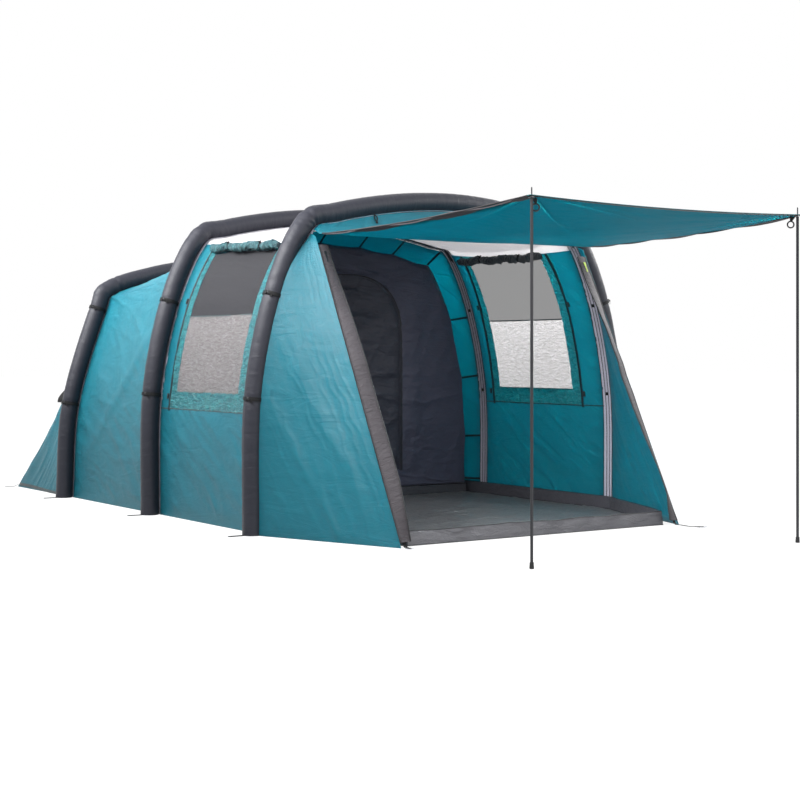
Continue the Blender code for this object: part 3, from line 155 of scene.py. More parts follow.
ground = bpy.data.materials.new("pale studio floor")
ground.use_nodes = True
tree = ground.node_tree
tree.nodes.clear()
shade = add(tree, "ShaderNodeMix", {"Factor": seen_directly(tree), "A": paint("#5C5C5C"),
                                    "B": paint("#E8E8E8")}, data_type="RGBA")
matt = add(tree, "ShaderNodeBsdfDiffuse", {"Color": shade.outputs["Result"]})
glow = add(tree, "ShaderNodeEmission", {"Color": paint("#FFFFFF"), "Strength": FLOOR_GLOW})
mostly = add(tree, "ShaderNodeMath", {0: seen_directly(tree), 1: GLOW_SHARE}, operation="MULTIPLY")
half = add(tree, "ShaderNodeMixShader", {0: mostly.outputs[0], 1: matt.outputs[0], 2: glow.outputs[0]})
add(tree, "ShaderNodeOutputMaterial", {"Surface": half.outputs[0]})
floor_mesh = bpy.data.meshes.new("studio_floor")
floor_mesh.from_pydata([(x * FLOOR_REACH, y * FLOOR_REACH, -FLOOR_DROP)
                        for x, y in ((-1, -1), (1, -1), (1, 1), (-1, 1))], [], [(0, 1, 2, 3)])
floor_mesh.materials.append(ground)
studio_floor = show(bpy.data.objects.new("studio_floor", floor_mesh))
lamp("high soft light", "SUN", (0.45, 0.25, -0.95), energy=0.75, angle=math.radians(40.0))
lamp("low front fill", "SUN", (-0.28, 0.93, -0.24), energy=1.15, angle=math.radians(50.0))
for side, power, centre_y in ((-1.0, 146.0, 1.1), (1.0, 88.0, 0.9)):
    panel_lamp("long soft box", (-side, 0.0, -0.6), (side * SOFT_BOX_X, centre_y, SOFT_BOX_Z), SOFT_BOX,
               power, 95.0)
panel_lamp("doorway panel", (0.774, 0.633, 0.03), (-0.35, -1.35, 0.95), (0.7, 1.2), 5.0, 80.0)
bpy.context.scene.view_settings.view_transform = "Standard"
print("studio ready")

# %% [markdown]
# Tent cloth is plain woven polyester with a coating: thin, slightly shiny and a little
# translucent, with fine crinkles from the bag it was packed in. One function makes each cloth: a
# thread pattern and stretched noise for the crinkles give the bump, and a slow noise shifts the
# colour; on some cloths the crinkles shift it instead, as painted highlight and painted shade.
# Threads are really 0.2 mm apart and are drawn at 3 mm, the finest that could show.

# %% Woven cloth
THREAD = 0.003
WAVE_SPAN = 0.314


def woven(name, light, dark, fixed, crinkle=0.0035, crinkle_size=0.05, thread=THREAD, turn=0.7, weave=0.0003,
          painted_fold_shading=False):
    """A woven cloth: light and dark colours, fixed shader sockets, crinkle depth and size.
    The last flag paints highlight on the crinkles' crests and shade in their hollows."""
    made = bpy.data.materials.new(name)
    made.use_nodes = True
    tree = made.node_tree
    shader = tree.nodes["Principled BSDF"]
    for key, value in fixed.items():
        shader.inputs[key].default_value = value
    place = add(tree, "ShaderNodeTexCoord").outputs["UV"]
    bands = [add(tree, "ShaderNodeTexWave", {"Vector": place, "Scale": WAVE_SPAN / thread}, wave_type="BANDS",
                 bands_direction=axis, wave_profile="SIN").outputs["Fac"] for axis in ("X", "Y")]
    threads = add(tree, "ShaderNodeMath", {0: bands[0], 1: bands[1]}, operation="MULTIPLY").outputs[0]
    slant = add(tree, "ShaderNodeMapping", {"Vector": place, "Rotation": (0.0, 0.0, turn),
                                            "Scale": (1.0, 3.2, 1.0)})
    folds = add(tree, "ShaderNodeTexNoise",
                {"Vector": slant.outputs[0], "Scale": 0.4 / crinkle_size, "Detail": 5.0, "Roughness": 0.62,
                 "Distortion": 0.6}, noise_dimensions="2D").outputs["Fac"]
    low = add(tree, "ShaderNodeBump", {"Height": folds, "Distance": crinkle * 4.0, "Strength": 0.8})
    fine = add(tree, "ShaderNodeBump", {"Height": threads, "Distance": weave, "Strength": 0.7,
                                        "Normal": low.outputs[0]})
    tree.links.new(fine.outputs[0], shader.inputs["Normal"])
    # Without the last flag a slow noise gives random tone; with it the crinkles give painted highlight and painted
    # shade.
    if painted_fold_shading:
        tone_and_fold_shade = add(tree, "ShaderNodeMapRange", {"Value": folds, "From Min": 0.34,
                                                "From Max": 0.66}).outputs[0]
    else:
        tone_and_fold_shade = add(tree, "ShaderNodeTexNoise", {"Vector": place, "Scale": 2.2, "Detail": 3.0},
                   noise_dimensions="2D").outputs["Fac"]
    mixed = add(tree, "ShaderNodeMath", {0: tone_and_fold_shade, 1: threads}, operation="MULTIPLY")
    tint = add(tree, "ShaderNodeMath", {0: threads, 1: 0.15, 2: mixed.outputs[0]}, operation="MULTIPLY_ADD")
    colour = add(tree, "ShaderNodeMix", {"Factor": tint.outputs[0], "A": paint(dark), "B": paint(light)},
                 data_type="RGBA")
    tree.links.new(colour.outputs["Result"], shader.inputs["Base Color"])
    return made


print("thread drawn at", THREAD * 1000.0, "mm")

# %% [markdown]
# The fly is teal, the roof over the front room a pale cloth that lets the light in, and the
# sleeves a heavier dark polyester with a dull face. The bedroom is a breathable black cloth. A
# little subsurface light stands for what comes through thin cloth, and sheen for its soft rim.

# %% Cloth finishes
LET_THROUGH = {"Subsurface Weight": 0.75, "Subsurface Radius": (0.17, 0.92, 1.0), "Subsurface Scale": 0.008}
TEAL = woven("coated teal polyester", "#1C7A8A", "#126474",
             {"Roughness": 0.44, "Specular IOR Level": 0.27, "Sheen Weight": 0.02, "IOR": 1.5, **LET_THROUGH},
             crinkle=0.0014, crinkle_size=0.11)
# The awning is the fly's teal painted lighter, for the light that comes through it from above.
AWNING_LIT_TEAL = woven("teal polyester with a matt underside", "#24909F", "#187887",
                    {"Roughness": 0.6, "Specular IOR Level": 0.05, "IOR": 1.5, **LET_THROUGH,
                     "Subsurface Scale": 0.011}, crinkle=0.0022, crinkle_size=0.09)
# The border's colour follows its crinkles: painted highlight on the crests, painted shade in the hollows.
BORDER = woven("crinkled teal window border", "#5FC4C2", "#0B5562",
               {"Roughness": 0.34, "Specular IOR Level": 0.5, "IOR": 1.5, **LET_THROUGH}, crinkle=0.009,
               crinkle_size=0.024, painted_fold_shading=True)
PALE = woven("pale translucent polyester", "#E4E0E3", "#D3CFD2",
             {"Roughness": 0.5, "Sheen Weight": 0.1, "Subsurface Weight": 0.9,
              "Subsurface Radius": (1.0, 1.0, 1.0), "Subsurface Scale": 0.009})
SLEEVE = woven("heavy sleeve polyester", "#31323C", "#24252E",
               {"Roughness": 0.48, "Specular IOR Level": 0.32, "Sheen Weight": 0.03}, crinkle=0.0014,
               crinkle_size=0.07, turn=1.2, weave=0.0003)
INNER = woven("breathable bedroom polyester", "#66687F", "#4D4F63",
              {"Roughness": 0.5, "Sheen Weight": 0.2}, crinkle=0.003, crinkle_size=0.06, turn=0.1)
DOOR_DARK = woven("darker bedroom door cloth", "#494A5A", "#383947",
                  {"Roughness": 0.5, "Sheen Weight": 0.2}, crinkle=0.003, crinkle_size=0.06, turn=0.5)
FLOOR = woven("coated groundsheet weave", "#959698", "#78797B",
              {"Roughness": 0.36, "Coat Weight": 0.15}, crinkle=0.005, crinkle_size=0.08, thread=0.004)
FLOOR_EDGE = woven("glossy groundsheet edge", "#67676E", "#55555C",
                   {"Roughness": 0.3, "Coat Weight": 0.2}, crinkle=0.003, crinkle_size=0.06)
WEBBING = woven("black woven webbing", "#151518", "#0C0C0E", {"Roughness": 0.7, "Specular IOR Level": 0.3},
                crinkle=0.0004, crinkle_size=0.02, thread=0.0035, weave=0.0008)
BINDING = woven("grey brown woven binding", "#4A444A", "#373237", {"Roughness": 0.65, "Sheen Weight": 0.12},
                crinkle=0.002, crinkle_size=0.025, thread=0.0035, weave=0.0006)
DARK_HEM = woven("dark hem tape", "#1D3A40", "#152C31", {"Roughness": 0.55, "Sheen Weight": 0.2},
                 crinkle=0.0006, crinkle_size=0.02)
print(len(bpy.data.materials), "materials so far")

# %% [markdown]
# Moulded plastic, rubber, coated and zinc-plated steel, clear film and insect mesh need only a
# fine grain. The film is hazy, with painted highlights and painted shade along its folds, and the
# mesh is drawn as a dark veil, because its 1 mm holes are far smaller than a pixel. Both are two
# layers here, so each has part of the alpha.

# %% Moulded, metal and clear finishes
def grained(name, colour, rough, grain, fixed=None, depth=0.0002, swing=0.12):
    """A plain finish with a fine grain, in metres, and a roughness that varies with it."""
    made = bpy.data.materials.new(name)
    made.use_nodes = True
    tree = made.node_tree
    shader = tree.nodes["Principled BSDF"]
    for key, value in {"Base Color": paint(colour), **(fixed or {})}.items():
        shader.inputs[key].default_value = value
    place = add(tree, "ShaderNodeTexCoord").outputs["Object"]
    speck = add(tree, "ShaderNodeTexNoise", {"Vector": place, "Scale": 1.0 / grain,
                                             "Detail": 3.0}).outputs["Fac"]
    bump = add(tree, "ShaderNodeBump", {"Height": speck, "Distance": depth, "Strength": 0.5})
    tree.links.new(bump.outputs[0], shader.inputs["Normal"])
    spread = add(tree, "ShaderNodeMapRange", {"Value": speck, "To Min": rough - swing,
                                              "To Max": rough + swing})
    tree.links.new(spread.outputs[0], shader.inputs["Roughness"])
    return made


PLASTIC = grained("moulded black nylon", "#1E1F22", 0.42, 0.004)
ZIP_BLACK = grained("black zip coil", "#18181B", 0.45, 0.003)
RUBBER = grained("black rubber foot", "#19191B", 0.7, 0.003)
PAINTED = grained("powder coated steel tube", "#323236", 0.4, 0.003, {"Metallic": 0.35})
STEEL = grained("zinc plated steel", "#B4B6BA", 0.3, 0.006, {"Metallic": 1.0})
LIME = grained("lime woven cord", "#B6D63A", 0.6, 0.002, {"Sheen Weight": 0.3})
SEWN = grained("dark sewing thread", "#26272B", 0.8, 0.002)
BLADDER = grained("smooth air bladder film", "#C9CCD0", 0.32, 0.02)
# The film's colour follows its folds: painted highlight on the creases, painted shade between them.
FILM = woven("hazy window film with painted fold highlights", "#FFFFFF", "#AAA0A1",
             {"Roughness": 0.2, "Alpha": 0.55, "Specular IOR Level": 0.5, "Subsurface Weight": 0.9,
              "Subsurface Radius": (1.0, 1.0, 1.0), "Subsurface Scale": 0.02},
             crinkle=0.008, crinkle_size=0.020, turn=0.9, weave=0.00005, painted_fold_shading=True)
MESH = woven("black insect mesh", "#3D3D42", "#2F2F33", {"Roughness": 0.7, "Alpha": 0.46}, crinkle=0.003,
             crinkle_size=0.10, turn=0.9, weave=0.0004)
print(len(bpy.data.materials), "materials in all")

# %% [markdown]
# Lines and surfaces are arrays of points. These helpers put coordinates together, pair two lists
# into a grid, blend two sets of points and measure a line.

# %% Point helpers
TURN = 2.0 * math.pi
SIDES = ((-1.0, "left"), (1.0, "right"))
UPWARD = np.array((0.0, 0.0, 1.0))


def coords(*parts):
    """Points from an array or a number for each direction."""
    return np.stack(np.broadcast_arrays(*parts), axis=-1)


def pairs(a, b):
    """Each a with each b, as two arrays."""
    return np.meshgrid(a, b, indexing="ij")


def mix(a, b, share):
    """Points a share of the way from a to b."""
    share = np.asarray(share, float)[..., None]
    return a * (1.0 - share) + b * share


def measured(line):
    """Distance along a line of points, from 0 at its start."""
    return np.concatenate([[0.0], np.cumsum(np.linalg.norm(np.diff(line, axis=0), axis=-1))])


def on_line(line, places):
    """Points at some distances along a flat line."""
    run = measured(line)
    return coords(np.interp(places, run, line[:, 0]), np.interp(places, run, line[:, 1]))


def evenly(line, count):
    """A flat line through a number of points an even distance apart."""
    return on_line(line, np.linspace(0.0, measured(line)[-1], count))


def spaced(marks, step):
    """Numbers about a step apart that pass through each mark."""
    runs = [np.linspace(a, b, max(2, int(round(abs(b - a) / step)) + 1)) for a, b in zip(marks, marks[1:])]
    return np.concatenate([runs[0]] + [run[1:] for run in runs[1:]])


def unit(vectors):
    """Vectors of the same direction and length 1."""
    return vectors / np.maximum(np.linalg.norm(vectors, axis=-1, keepdims=True), 1e-12)


def box(node):
    """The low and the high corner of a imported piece."""
    return (np.array(corner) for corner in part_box(node))


print("a full turn is", round(TURN, 3), "radians")

# %% [markdown]
# The arch of each beam is a smooth curve through a few known points. These are the model's own
# numbers: t runs from the right foot (0) over the crown (6) to the left foot (12).

# %% The arches
HALF_WIDTH = 1.41
TALL_HALF = ((1.0, 0.0), (0.992, 0.39), (0.9, 0.695), (0.755, 0.906), (0.6, 0.948), (0.3, 0.986), (0.0, 1.0))
REAR_HALF = ((1.0, 0.0), (0.966, 0.396), (0.815, 0.79), (0.748, 0.886), (0.49, 0.955), (0.25, 0.989),
             (0.0, 1.0))
CROWN, END = 6.0, 12.0
BEAM_RADIUS = 0.068
FLY_INSET = BEAM_RADIUS * math.cos(math.pi / 10.0) + 0.0003
TAPE_HALF = 0.035
CLOTH = 0.003


class Arch:
    """One beam's centreline in its own upright plane."""

    def __init__(self, name, y, crown, half):
        right = np.array(half) * (HALF_WIDTH, crown)
        self.name = name
        self.y = y
        self.points = np.vstack([right, right[-2::-1] * (-1.0, 1.0)])
        self.t = np.linspace(0.0, END, 4801)
        self.run = measured(self.line(self.t))
        self.length = self.run[-1]

    def line(self, t):
        """The centreline at t, as x and z."""
        t = np.asarray(t, float)
        last = len(self.points) - 1
        k = np.clip(np.floor(t).astype(int), 0, last - 1)
        u = (t - k)[..., None]
        a, b = self.points[k], self.points[k + 1]
        before = np.where((k > 0)[..., None], self.points[np.maximum(k - 1, 0)], 2.0 * a - b)
        after = np.where((k + 2 <= last)[..., None], self.points[np.minimum(k + 2, last)], 2.0 * b - a)
        square = 2.0 * before - 5.0 * a + 4.0 * b - after
        return 0.5 * (2.0 * a + (b - before) * u + square * u ** 2 + (3.0 * a - before - 3.0 * b + after) * u ** 3)

    def out(self, t):
        """The outward direction at t."""
        t = np.asarray(t, float)
        along = unit(self.line(np.clip(t + 0.01, 0.0, END)) - self.line(np.clip(t - 0.01, 0.0, END)))
        normal = np.stack([along[..., 1], -along[..., 0]], axis=-1)
        normal = np.where((t <= 0.0)[..., None], (1.0, 0.0), normal)
        return np.where((t >= END)[..., None], (-1.0, 0.0), normal)

    def at(self, t, inset):
        """The arch moved in by inset."""
        return self.line(t) - self.out(t) * np.asarray(inset)[..., None]

    def along(self, t):
        """Distance from the right foot."""
        return np.interp(t, self.t, self.run)

    def up(self, t):
        """Distance from the nearer foot."""
        run = self.along(t)
        return np.minimum(run, self.length - run)

    def even(self, start, end, step):
        """Stations from start to end that lie an even step apart."""
        a, b = self.along([start, end])
        count = max(2, int(round(abs(b - a) / step)) + 1)
        return np.interp(np.linspace(a, b, count), self.run, self.t)

    def station(self, height, inset=FLY_INSET):
        """Where the right leg, moved in by inset, reaches a height."""
        t = np.linspace(0.0, 3.0, 1200)
        return float(np.interp(height, self.at(t, inset)[:, 1], t))


FRONT = Arch("front", 0.0, 2.02, TALL_HALF)
MIDDLE = Arch("middle", 1.40, 2.02, TALL_HALF)
REAR = Arch("rear", 2.88, 1.75, REAR_HALF)
BEAMS = (FRONT, MIDDLE, REAR)
print("beam lengths", [round(arch.length, 3) for arch in BEAMS])

# %% [markdown]
# Wrinkles are sums of simple rules: smooth random hills, thin ridges that run at an angle like
# creases in stretched cloth, and single folds drawn from one point to another. They are numbers
# with a fixed seed, so each run gives the same cloth.

# %% Wrinkle rules
TABLE = 61


def hills(x, y, size, seed):
    """Smooth random hills about size metres across, from -1 to 1."""
    table = np.random.default_rng(seed).uniform(-1.0, 1.0, (TABLE, TABLE))
    gx, gy = np.asarray(x) / size + 400.3, np.asarray(y) / size + 400.7
    ix, iy = np.floor(gx).astype(int), np.floor(gy).astype(int)
    fx, fy = gx - ix, gy - iy
    fx, fy = fx * fx * (3.0 - 2.0 * fx), fy * fy * (3.0 - 2.0 * fy)
    a, b = table[ix % TABLE, iy % TABLE], table[(ix + 1) % TABLE, iy % TABLE]
    c, d = table[ix % TABLE, (iy + 1) % TABLE], table[(ix + 1) % TABLE, (iy + 1) % TABLE]
    return (a * (1.0 - fx) + b * fx) * (1.0 - fy) + (c * (1.0 - fx) + d * fx) * fy


def creases(x, y, degrees, length, width, seed, sharp=3.0):
    """Thin ridges that run at an angle, from 0 to 1."""
    turn = math.radians(degrees)
    bend = hills(x, y, 1.7 * width, seed + 7) * 0.35 * width
    along = x * math.cos(turn) + y * math.sin(turn)
    across = y * math.cos(turn) - x * math.sin(turn) + bend
    return (1.0 - np.abs(hills(along * width / length, across, width, seed))) ** sharp


def ridges(x, y, seed, *rows):
    """Sets of creases on top of each other, a seed apart. A row holds the angle in degrees, the
    length, width, sharpness and height of one set."""
    return sum(creases(x, y, degrees, length, width, seed + number, sharp) * height
               for number, (degrees, length, width, sharp, height) in enumerate(rows))


def fold(x, y, start, end, width, height):
    """One straight fold from start to end, highest in its middle."""
    a, b = np.array(start), np.array(end)
    along = b - a
    share = ((x - a[0]) * along[0] + (y - a[1]) * along[1]) / (along @ along)
    near = np.clip(share, 0.0, 1.0)
    gap = np.hypot(x - a[0] - along[0] * near, y - a[1] - along[1] * near)
    return height * np.exp(-(gap / width) ** 2) * (0.25 + 0.75 * np.sin(math.pi * near))


def smooth(low, high, value):
    """0 below low, 1 above high, and an even rise between."""
    share = np.clip((np.asarray(value) - low) / (high - low), 0.0, 1.0)
    return share * share * (3.0 - 2.0 * share)


def held(value, low, high, reach=0.07, rest=0.1):
    """1 in the open cloth, down to rest at both ends, where a seam holds it."""
    return rest + (1.0 - rest) * smooth(0.0, reach, value - low) * smooth(0.0, reach, high - value)


def dip(gap, width):
    """1 where the gap is nothing, fading over a width."""
    return np.exp(-(gap / width) ** 2)


print("hills run from", round(float(hills(np.arange(400) * 0.01, 0.0, 0.1, 1).min()), 2))

# %% [markdown]
# Every panel is the same thing: a grid of points with a front and a back face and a thin rim, so
# that it is closed and has a right side. The helper finds the open edges by itself, which lets a
# wall have a window hole, and gives each panel a UV map in metres for its weave.

# %% Closed sheets
def make_piece(name, spots, faces, uv, finish, sharp=60.0, outward=False):
    """A smooth-shaded mesh with one UV point per vertex; outward turns its faces out."""
    mesh = bpy.data.meshes.new(name)
    mesh.from_pydata(spots.tolist(), [], faces)
    layer = mesh.uv_layers.new(name="cloth")
    corners = np.empty(len(mesh.loops), np.int32)
    mesh.loops.foreach_get("vertex_index", corners)
    layer.data.foreach_set("uv", np.asarray(uv, np.float32)[corners].ravel())
    if outward:
        shape = bmesh.new()
        shape.from_mesh(mesh)
        if shape.calc_volume(signed=True) < 0.0:
            bmesh.ops.reverse_faces(shape, faces=shape.faces[:])
        shape.to_mesh(mesh)
        shape.free()
    mesh.materials.append(finish)
    mesh.shade_smooth()
    mesh.set_sharp_from_angle(angle=math.radians(sharp))
    return show(bpy.data.objects.new(name, mesh))


def shell(name, outer, inner, uv, finish, keep=None):
    """A closed sheet between two grids of points; keep marks the cells that stay."""
    rows, cols = outer.shape[:2]
    count = rows * cols
    index = np.arange(count).reshape(rows, cols)
    cells = np.stack([index[:-1, :-1], index[:-1, 1:], index[1:, 1:], index[1:, :-1]], axis=-1)
    cells = cells.reshape(-1, 4) if keep is None else cells[keep]
    flat = outer.reshape(-1, 3)
    facing = np.cross(flat[cells[:, 2]] - flat[cells[:, 0]], flat[cells[:, 3]] - flat[cells[:, 1]])
    outward = (outer - inner).reshape(-1, 3)[cells[:, 0]]
    if (facing * outward).sum() < 0.0:
        cells = cells[:, ::-1]
    starts, ends = cells.ravel(), np.roll(cells, -1, axis=1).ravel()
    rim = ~np.isin(starts * count + ends, ends * count + starts)
    a, b = starts[rim], ends[rim]
    faces = np.vstack([cells, cells[:, ::-1] + count, np.stack([b, a, a + count, b + count], axis=-1)])
    used, faces = np.unique(faces, return_inverse=True)
    spots = np.vstack([flat, inner.reshape(-1, 3)])[used]
    return make_piece(name, spots, faces.reshape(-1, 4).tolist(), np.vstack([uv.reshape(-1, 2)] * 2)[used],
                      finish)


print("sheets have two faces and a rim")

# %% [markdown]
# A cloth is a shape rule with a wrinkle rule. Both take the same two numbers, so a zip, a border
# or a line of stitches can be laid on the same surface later, wrinkles and all.

# %% Cloth surfaces
ROOM = np.array((0.0, 1.40, 0.8))
THIN = 0.0014
SHEETS = []


class Cloth:
    """A surface from two numbers: shape gives points, wrinkle a height off it, uv its flat map."""

    def __init__(self, shape, wrinkle, uv, sample, inside=ROOM):
        self.shape, self.wrinkle, self.uv = shape, wrinkle, uv
        self.sign = 1.0
        a, b = pairs(*sample)
        if (self.normal(a, b) * (shape(a, b) - inside)).sum() < 0.0:
            self.sign = -1.0

    def normal(self, a, b):
        """The direction away from the room."""
        a, b = np.broadcast_arrays(np.asarray(a, float), np.asarray(b, float))
        step = 1e-3
        first = self.shape(a + step, b) - self.shape(a - step, b)
        second = self.shape(a, b + step) - self.shape(a, b - step)
        return unit(np.cross(first, second)) * self.sign

    def at(self, a, b, lift=0.0):
        """Points on the wrinkled cloth, or a lift off it."""
        a, b = np.broadcast_arrays(np.asarray(a, float), np.asarray(b, float))
        height = self.wrinkle(a, b) + lift
        return self.shape(a, b) + self.normal(a, b) * height[..., None]

    def panel(self, name, a, b, finish, thickness=THIN, keep=None, ground=0.0, lift=0.0):
        """A closed sheet over the grid a by b, with its flat width, length and area."""
        a, b = pairs(a, b)
        outer, inner = self.at(a, b, lift), self.at(a, b, lift - thickness)
        for side in (outer, inner):
            side[..., 2] = np.maximum(side[..., 2], ground)
        made = shell(name, outer, inner, self.uv(a, b), finish, keep)
        made["flat"] = self.flat(self.shape(a, b), keep)
        return made

    def flat(self, base, keep):
        """Width, length and area of the cut before it wrinkled."""
        cross = np.cross(base[1:, 1:] - base[:-1, :-1], base[1:, :-1] - base[:-1, 1:])
        area = np.linalg.norm(cross, axis=-1) / 2.0
        total = float(area.sum() if keep is None else area[keep].sum())
        wide = float(np.linalg.norm(np.diff(base, axis=1), axis=-1).sum(axis=1).max())
        long = float(np.linalg.norm(np.diff(base, axis=0), axis=-1).sum(axis=0).max())
        return [wide, long, min(total, wide * long)]


def settle(piece, body, slot, *nodes, held=None, rests_on=(), extras=()):
    """Let a piece ride on a body and stand for its nodes; held puts it in the list of sheets. The slot is not used.
    """
    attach(piece, body)
    if nodes:
        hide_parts(*nodes)
    if held:
        wide, long, area = piece["flat"]
        list(extras)
        SHEETS.append((piece.name, round(wide, 2), round(long, 2), round(area, 2)))
    return piece


print("cloth is", THIN * 1000.0, "mm thick here")

# %% [markdown]
# Trims need three more shapes: a flat ribbon that follows a line, for webbing, tape and hems, a
# round tube, for piping, cord and wire, and a small moulded block. All are closed. Some repeated
# trims are made one by one and joined, so that the list of pieces stays short.

# %% Ribbons, tubes and blocks
def ribbon(name, centre, up, width, thickness, finish, columns=3, crown=0.0):
    """A flat strip along a line of points; up points off its face, and width may vary."""
    centre = np.asarray(centre, float)
    up = unit(np.broadcast_to(np.asarray(up, float), centre.shape))
    along = unit(np.gradient(centre, axis=0))
    side = unit(np.cross(along, up))
    up = unit(np.cross(side, along))
    wide = np.broadcast_to(np.asarray(width, float), (len(centre),))
    share = np.linspace(-0.5, 0.5, columns)
    rise = crown * (1.0 - (2.0 * share) ** 2)
    face = centre[:, None] + side[:, None] * (wide[:, None] * share)[..., None] + up[:, None] * rise[None, :,
                                                                                                     None]
    uv = coords(wide[:, None] * share, measured(centre)[:, None])
    return shell(name, face + up[:, None] * thickness, face, uv, finish)


def tube(name, centre, radius, finish, sides=10):
    """A round closed tube along a line of points; radius may vary."""
    centre = np.asarray(centre, float)
    along = unit(np.gradient(centre, axis=0))
    guide = UPWARD if abs(along[0][2]) < 0.9 else np.array((0.0, 1.0, 0.0))
    side = []
    for direction in along:
        guide = unit(guide - direction * (guide @ direction))
        side.append(guide)
    side = np.array(side)
    other = np.cross(along, side)
    around = (TURN * np.arange(sides) / sides)[:, None]
    wide = np.broadcast_to(np.asarray(radius, float), (len(centre),))[:, None, None]
    ring = side[:, None] * np.cos(around) + other[:, None] * np.sin(around)
    return close_rings(name, centre[:, None] + wide * ring, finish)


def close_rings(name, rings, finish):
    """Join rings of points one after the other and close both ends."""
    count, sides = rings.shape[:2]
    index = np.arange(count * sides).reshape(count, sides)
    low, high = index[:-1], index[1:]
    faces = np.stack([low, np.roll(low, -1, 1), np.roll(high, -1, 1), high], axis=-1).reshape(-1, 4).tolist()
    for tip, ring, order in ((count * sides, index[0].tolist(), 1),
                             (count * sides + 1, index[-1].tolist(), -1)):
        for k in range(sides):
            faces.append([tip, *(ring[k], ring[(k + 1) % sides])[::-order]])
    run = measured(rings.mean(1))
    girth = np.linalg.norm(rings[count // 2] - np.roll(rings[count // 2], 1, 0), axis=1).sum()
    uv = coords(girth * np.arange(sides) / sides, run[:, None]).reshape(-1, 2)
    spots = np.vstack([rings.reshape(-1, 3), rings[0].mean(0), rings[-1].mean(0)])
    return make_piece(name, spots, faces, np.vstack([uv, [[0.0, 0.0], [0.0, run[-1]]]]), finish, 50.0,
                      outward=True)


def block(name, centre, axes, size, finish, bevel=0.3):
    """A small moulded block with rounded edges; axes are its three directions."""
    shape = bmesh.new()
    bmesh.ops.create_cube(shape, size=1.0)
    turned = np.array(axes, float)
    for corner in shape.verts:
        corner.co = Vector(np.array(centre) + (np.array(corner.co) * size) @ turned)
    bmesh.ops.bevel(shape, geom=shape.edges[:], offset=bevel * min(size), segments=2, affect="EDGES")
    bmesh.ops.recalc_face_normals(shape, faces=shape.faces[:])
    mesh = bpy.data.meshes.new(name)
    shape.to_mesh(mesh)
    shape.free()
    mesh.materials.append(finish)
    mesh.shade_smooth()
    return show(bpy.data.objects.new(name, mesh))


def join(name, pieces):
    """One mesh from several that share a finish."""
    shape = bmesh.new()
    finish = pieces[0].data.materials[0]
    for piece in pieces:
        mesh = piece.data
        shape.from_mesh(mesh)
        bpy.data.objects.remove(piece)
        bpy.data.meshes.remove(mesh)
    mesh = bpy.data.meshes.new(name)
    shape.to_mesh(mesh)
    shape.free()
    mesh.materials.append(finish)
    return show(bpy.data.objects.new(name, mesh))


print("trims ready")

# %% [markdown]
# Stitches and zip teeth repeat along a line, so Geometry Nodes set them out: the line becomes a
# curve, points lie on it at an even pitch, and each point gets a short rod along the line. Real
# stitches are 3 mm apart and real teeth 2 mm; both are drawn coarser here, to show at all.

# %% Stitches and teeth
RODS = bpy.data.node_groups.new("rods along a line", "GeometryNodeTree")
for socket_name, kind in (("Line", "Geometry"), ("Pitch", "Float"), ("Rod Length", "Float"),
                          ("Rod Radius", "Float"),
                          ("Seed", "Int"), ("Finish", "Material")):
    RODS.interface.new_socket(socket_name, in_out="INPUT", socket_type=f"NodeSocket{kind}")
RODS.interface.new_socket("Rods", in_out="OUTPUT", socket_type="NodeSocketGeometry")
given = add(RODS, "NodeGroupInput").outputs
as_curve = add(RODS, "GeometryNodeMeshToCurve", {"Mesh": given["Line"]})
spots = add(RODS, "GeometryNodeCurveToPoints", {"Curve": as_curve.outputs[0], "Length": given["Pitch"]},
            mode="LENGTH")
rod = add(RODS, "GeometryNodeMeshCylinder", {"Vertices": 6, "Radius": given["Rod Radius"],
                                             "Depth": given["Rod Length"]})
uneven = add(RODS, "FunctionNodeRandomValue", {"Seed": given["Seed"], 2: 0.9, 3: 1.1}, data_type="FLOAT")
laid = add(RODS, "GeometryNodeInstanceOnPoints", {"Points": spots.outputs["Points"],
                                                  "Instance": rod.outputs["Mesh"],
                                                  "Rotation": spots.outputs["Rotation"],
                                                  "Scale": uneven.outputs[1]})
real = add(RODS, "GeometryNodeRealizeInstances", {"Geometry": laid.outputs[0]})
coated = add(RODS, "GeometryNodeSetMaterial", {"Geometry": real.outputs[0], "Material": given["Finish"]})
add(RODS, "NodeGroupOutput", {"Rods": coated.outputs[0]})


def rods(name, line, pitch, length, radius, finish, seed=5):
    """One mesh of short rods at an even pitch along a line of points."""
    mesh = bpy.data.meshes.new(name)
    mesh.from_pydata(np.asarray(line).tolist(), [(k, k + 1) for k in range(len(line) - 1)], [])
    guide = show(bpy.data.objects.new(name, mesh))
    modifier = guide.modifiers.new("rods", "NODES")
    modifier.node_group = RODS
    values = {"Pitch": pitch, "Rod Length": length, "Rod Radius": radius, "Seed": seed, "Finish": finish}
    for item in RODS.interface.items_tree:
        if item.in_out == "INPUT" and item.name in values:
            modifier[item.identifier] = values[item.name]
    graph = bpy.context.evaluated_depsgraph_get()
    laid_out = bpy.data.meshes.new_from_object(guide.evaluated_get(graph))
    guide.modifiers.remove(modifier)
    guide.data = laid_out
    bpy.data.meshes.remove(mesh)
    return guide


print("rods are laid by", RODS.name)

# %% [markdown]
# A beam's sleeve is a long tube of stout cloth, pumped tight by the bladder inside. It would be a
# plain pipe but for its crinkles: short rings of puckers where the arch bends, most on the inner
# side of the bend, a waist under each webbing strap, and a sewn seam round each shoulder. The
# radius of a tube of points is changed by those rules.

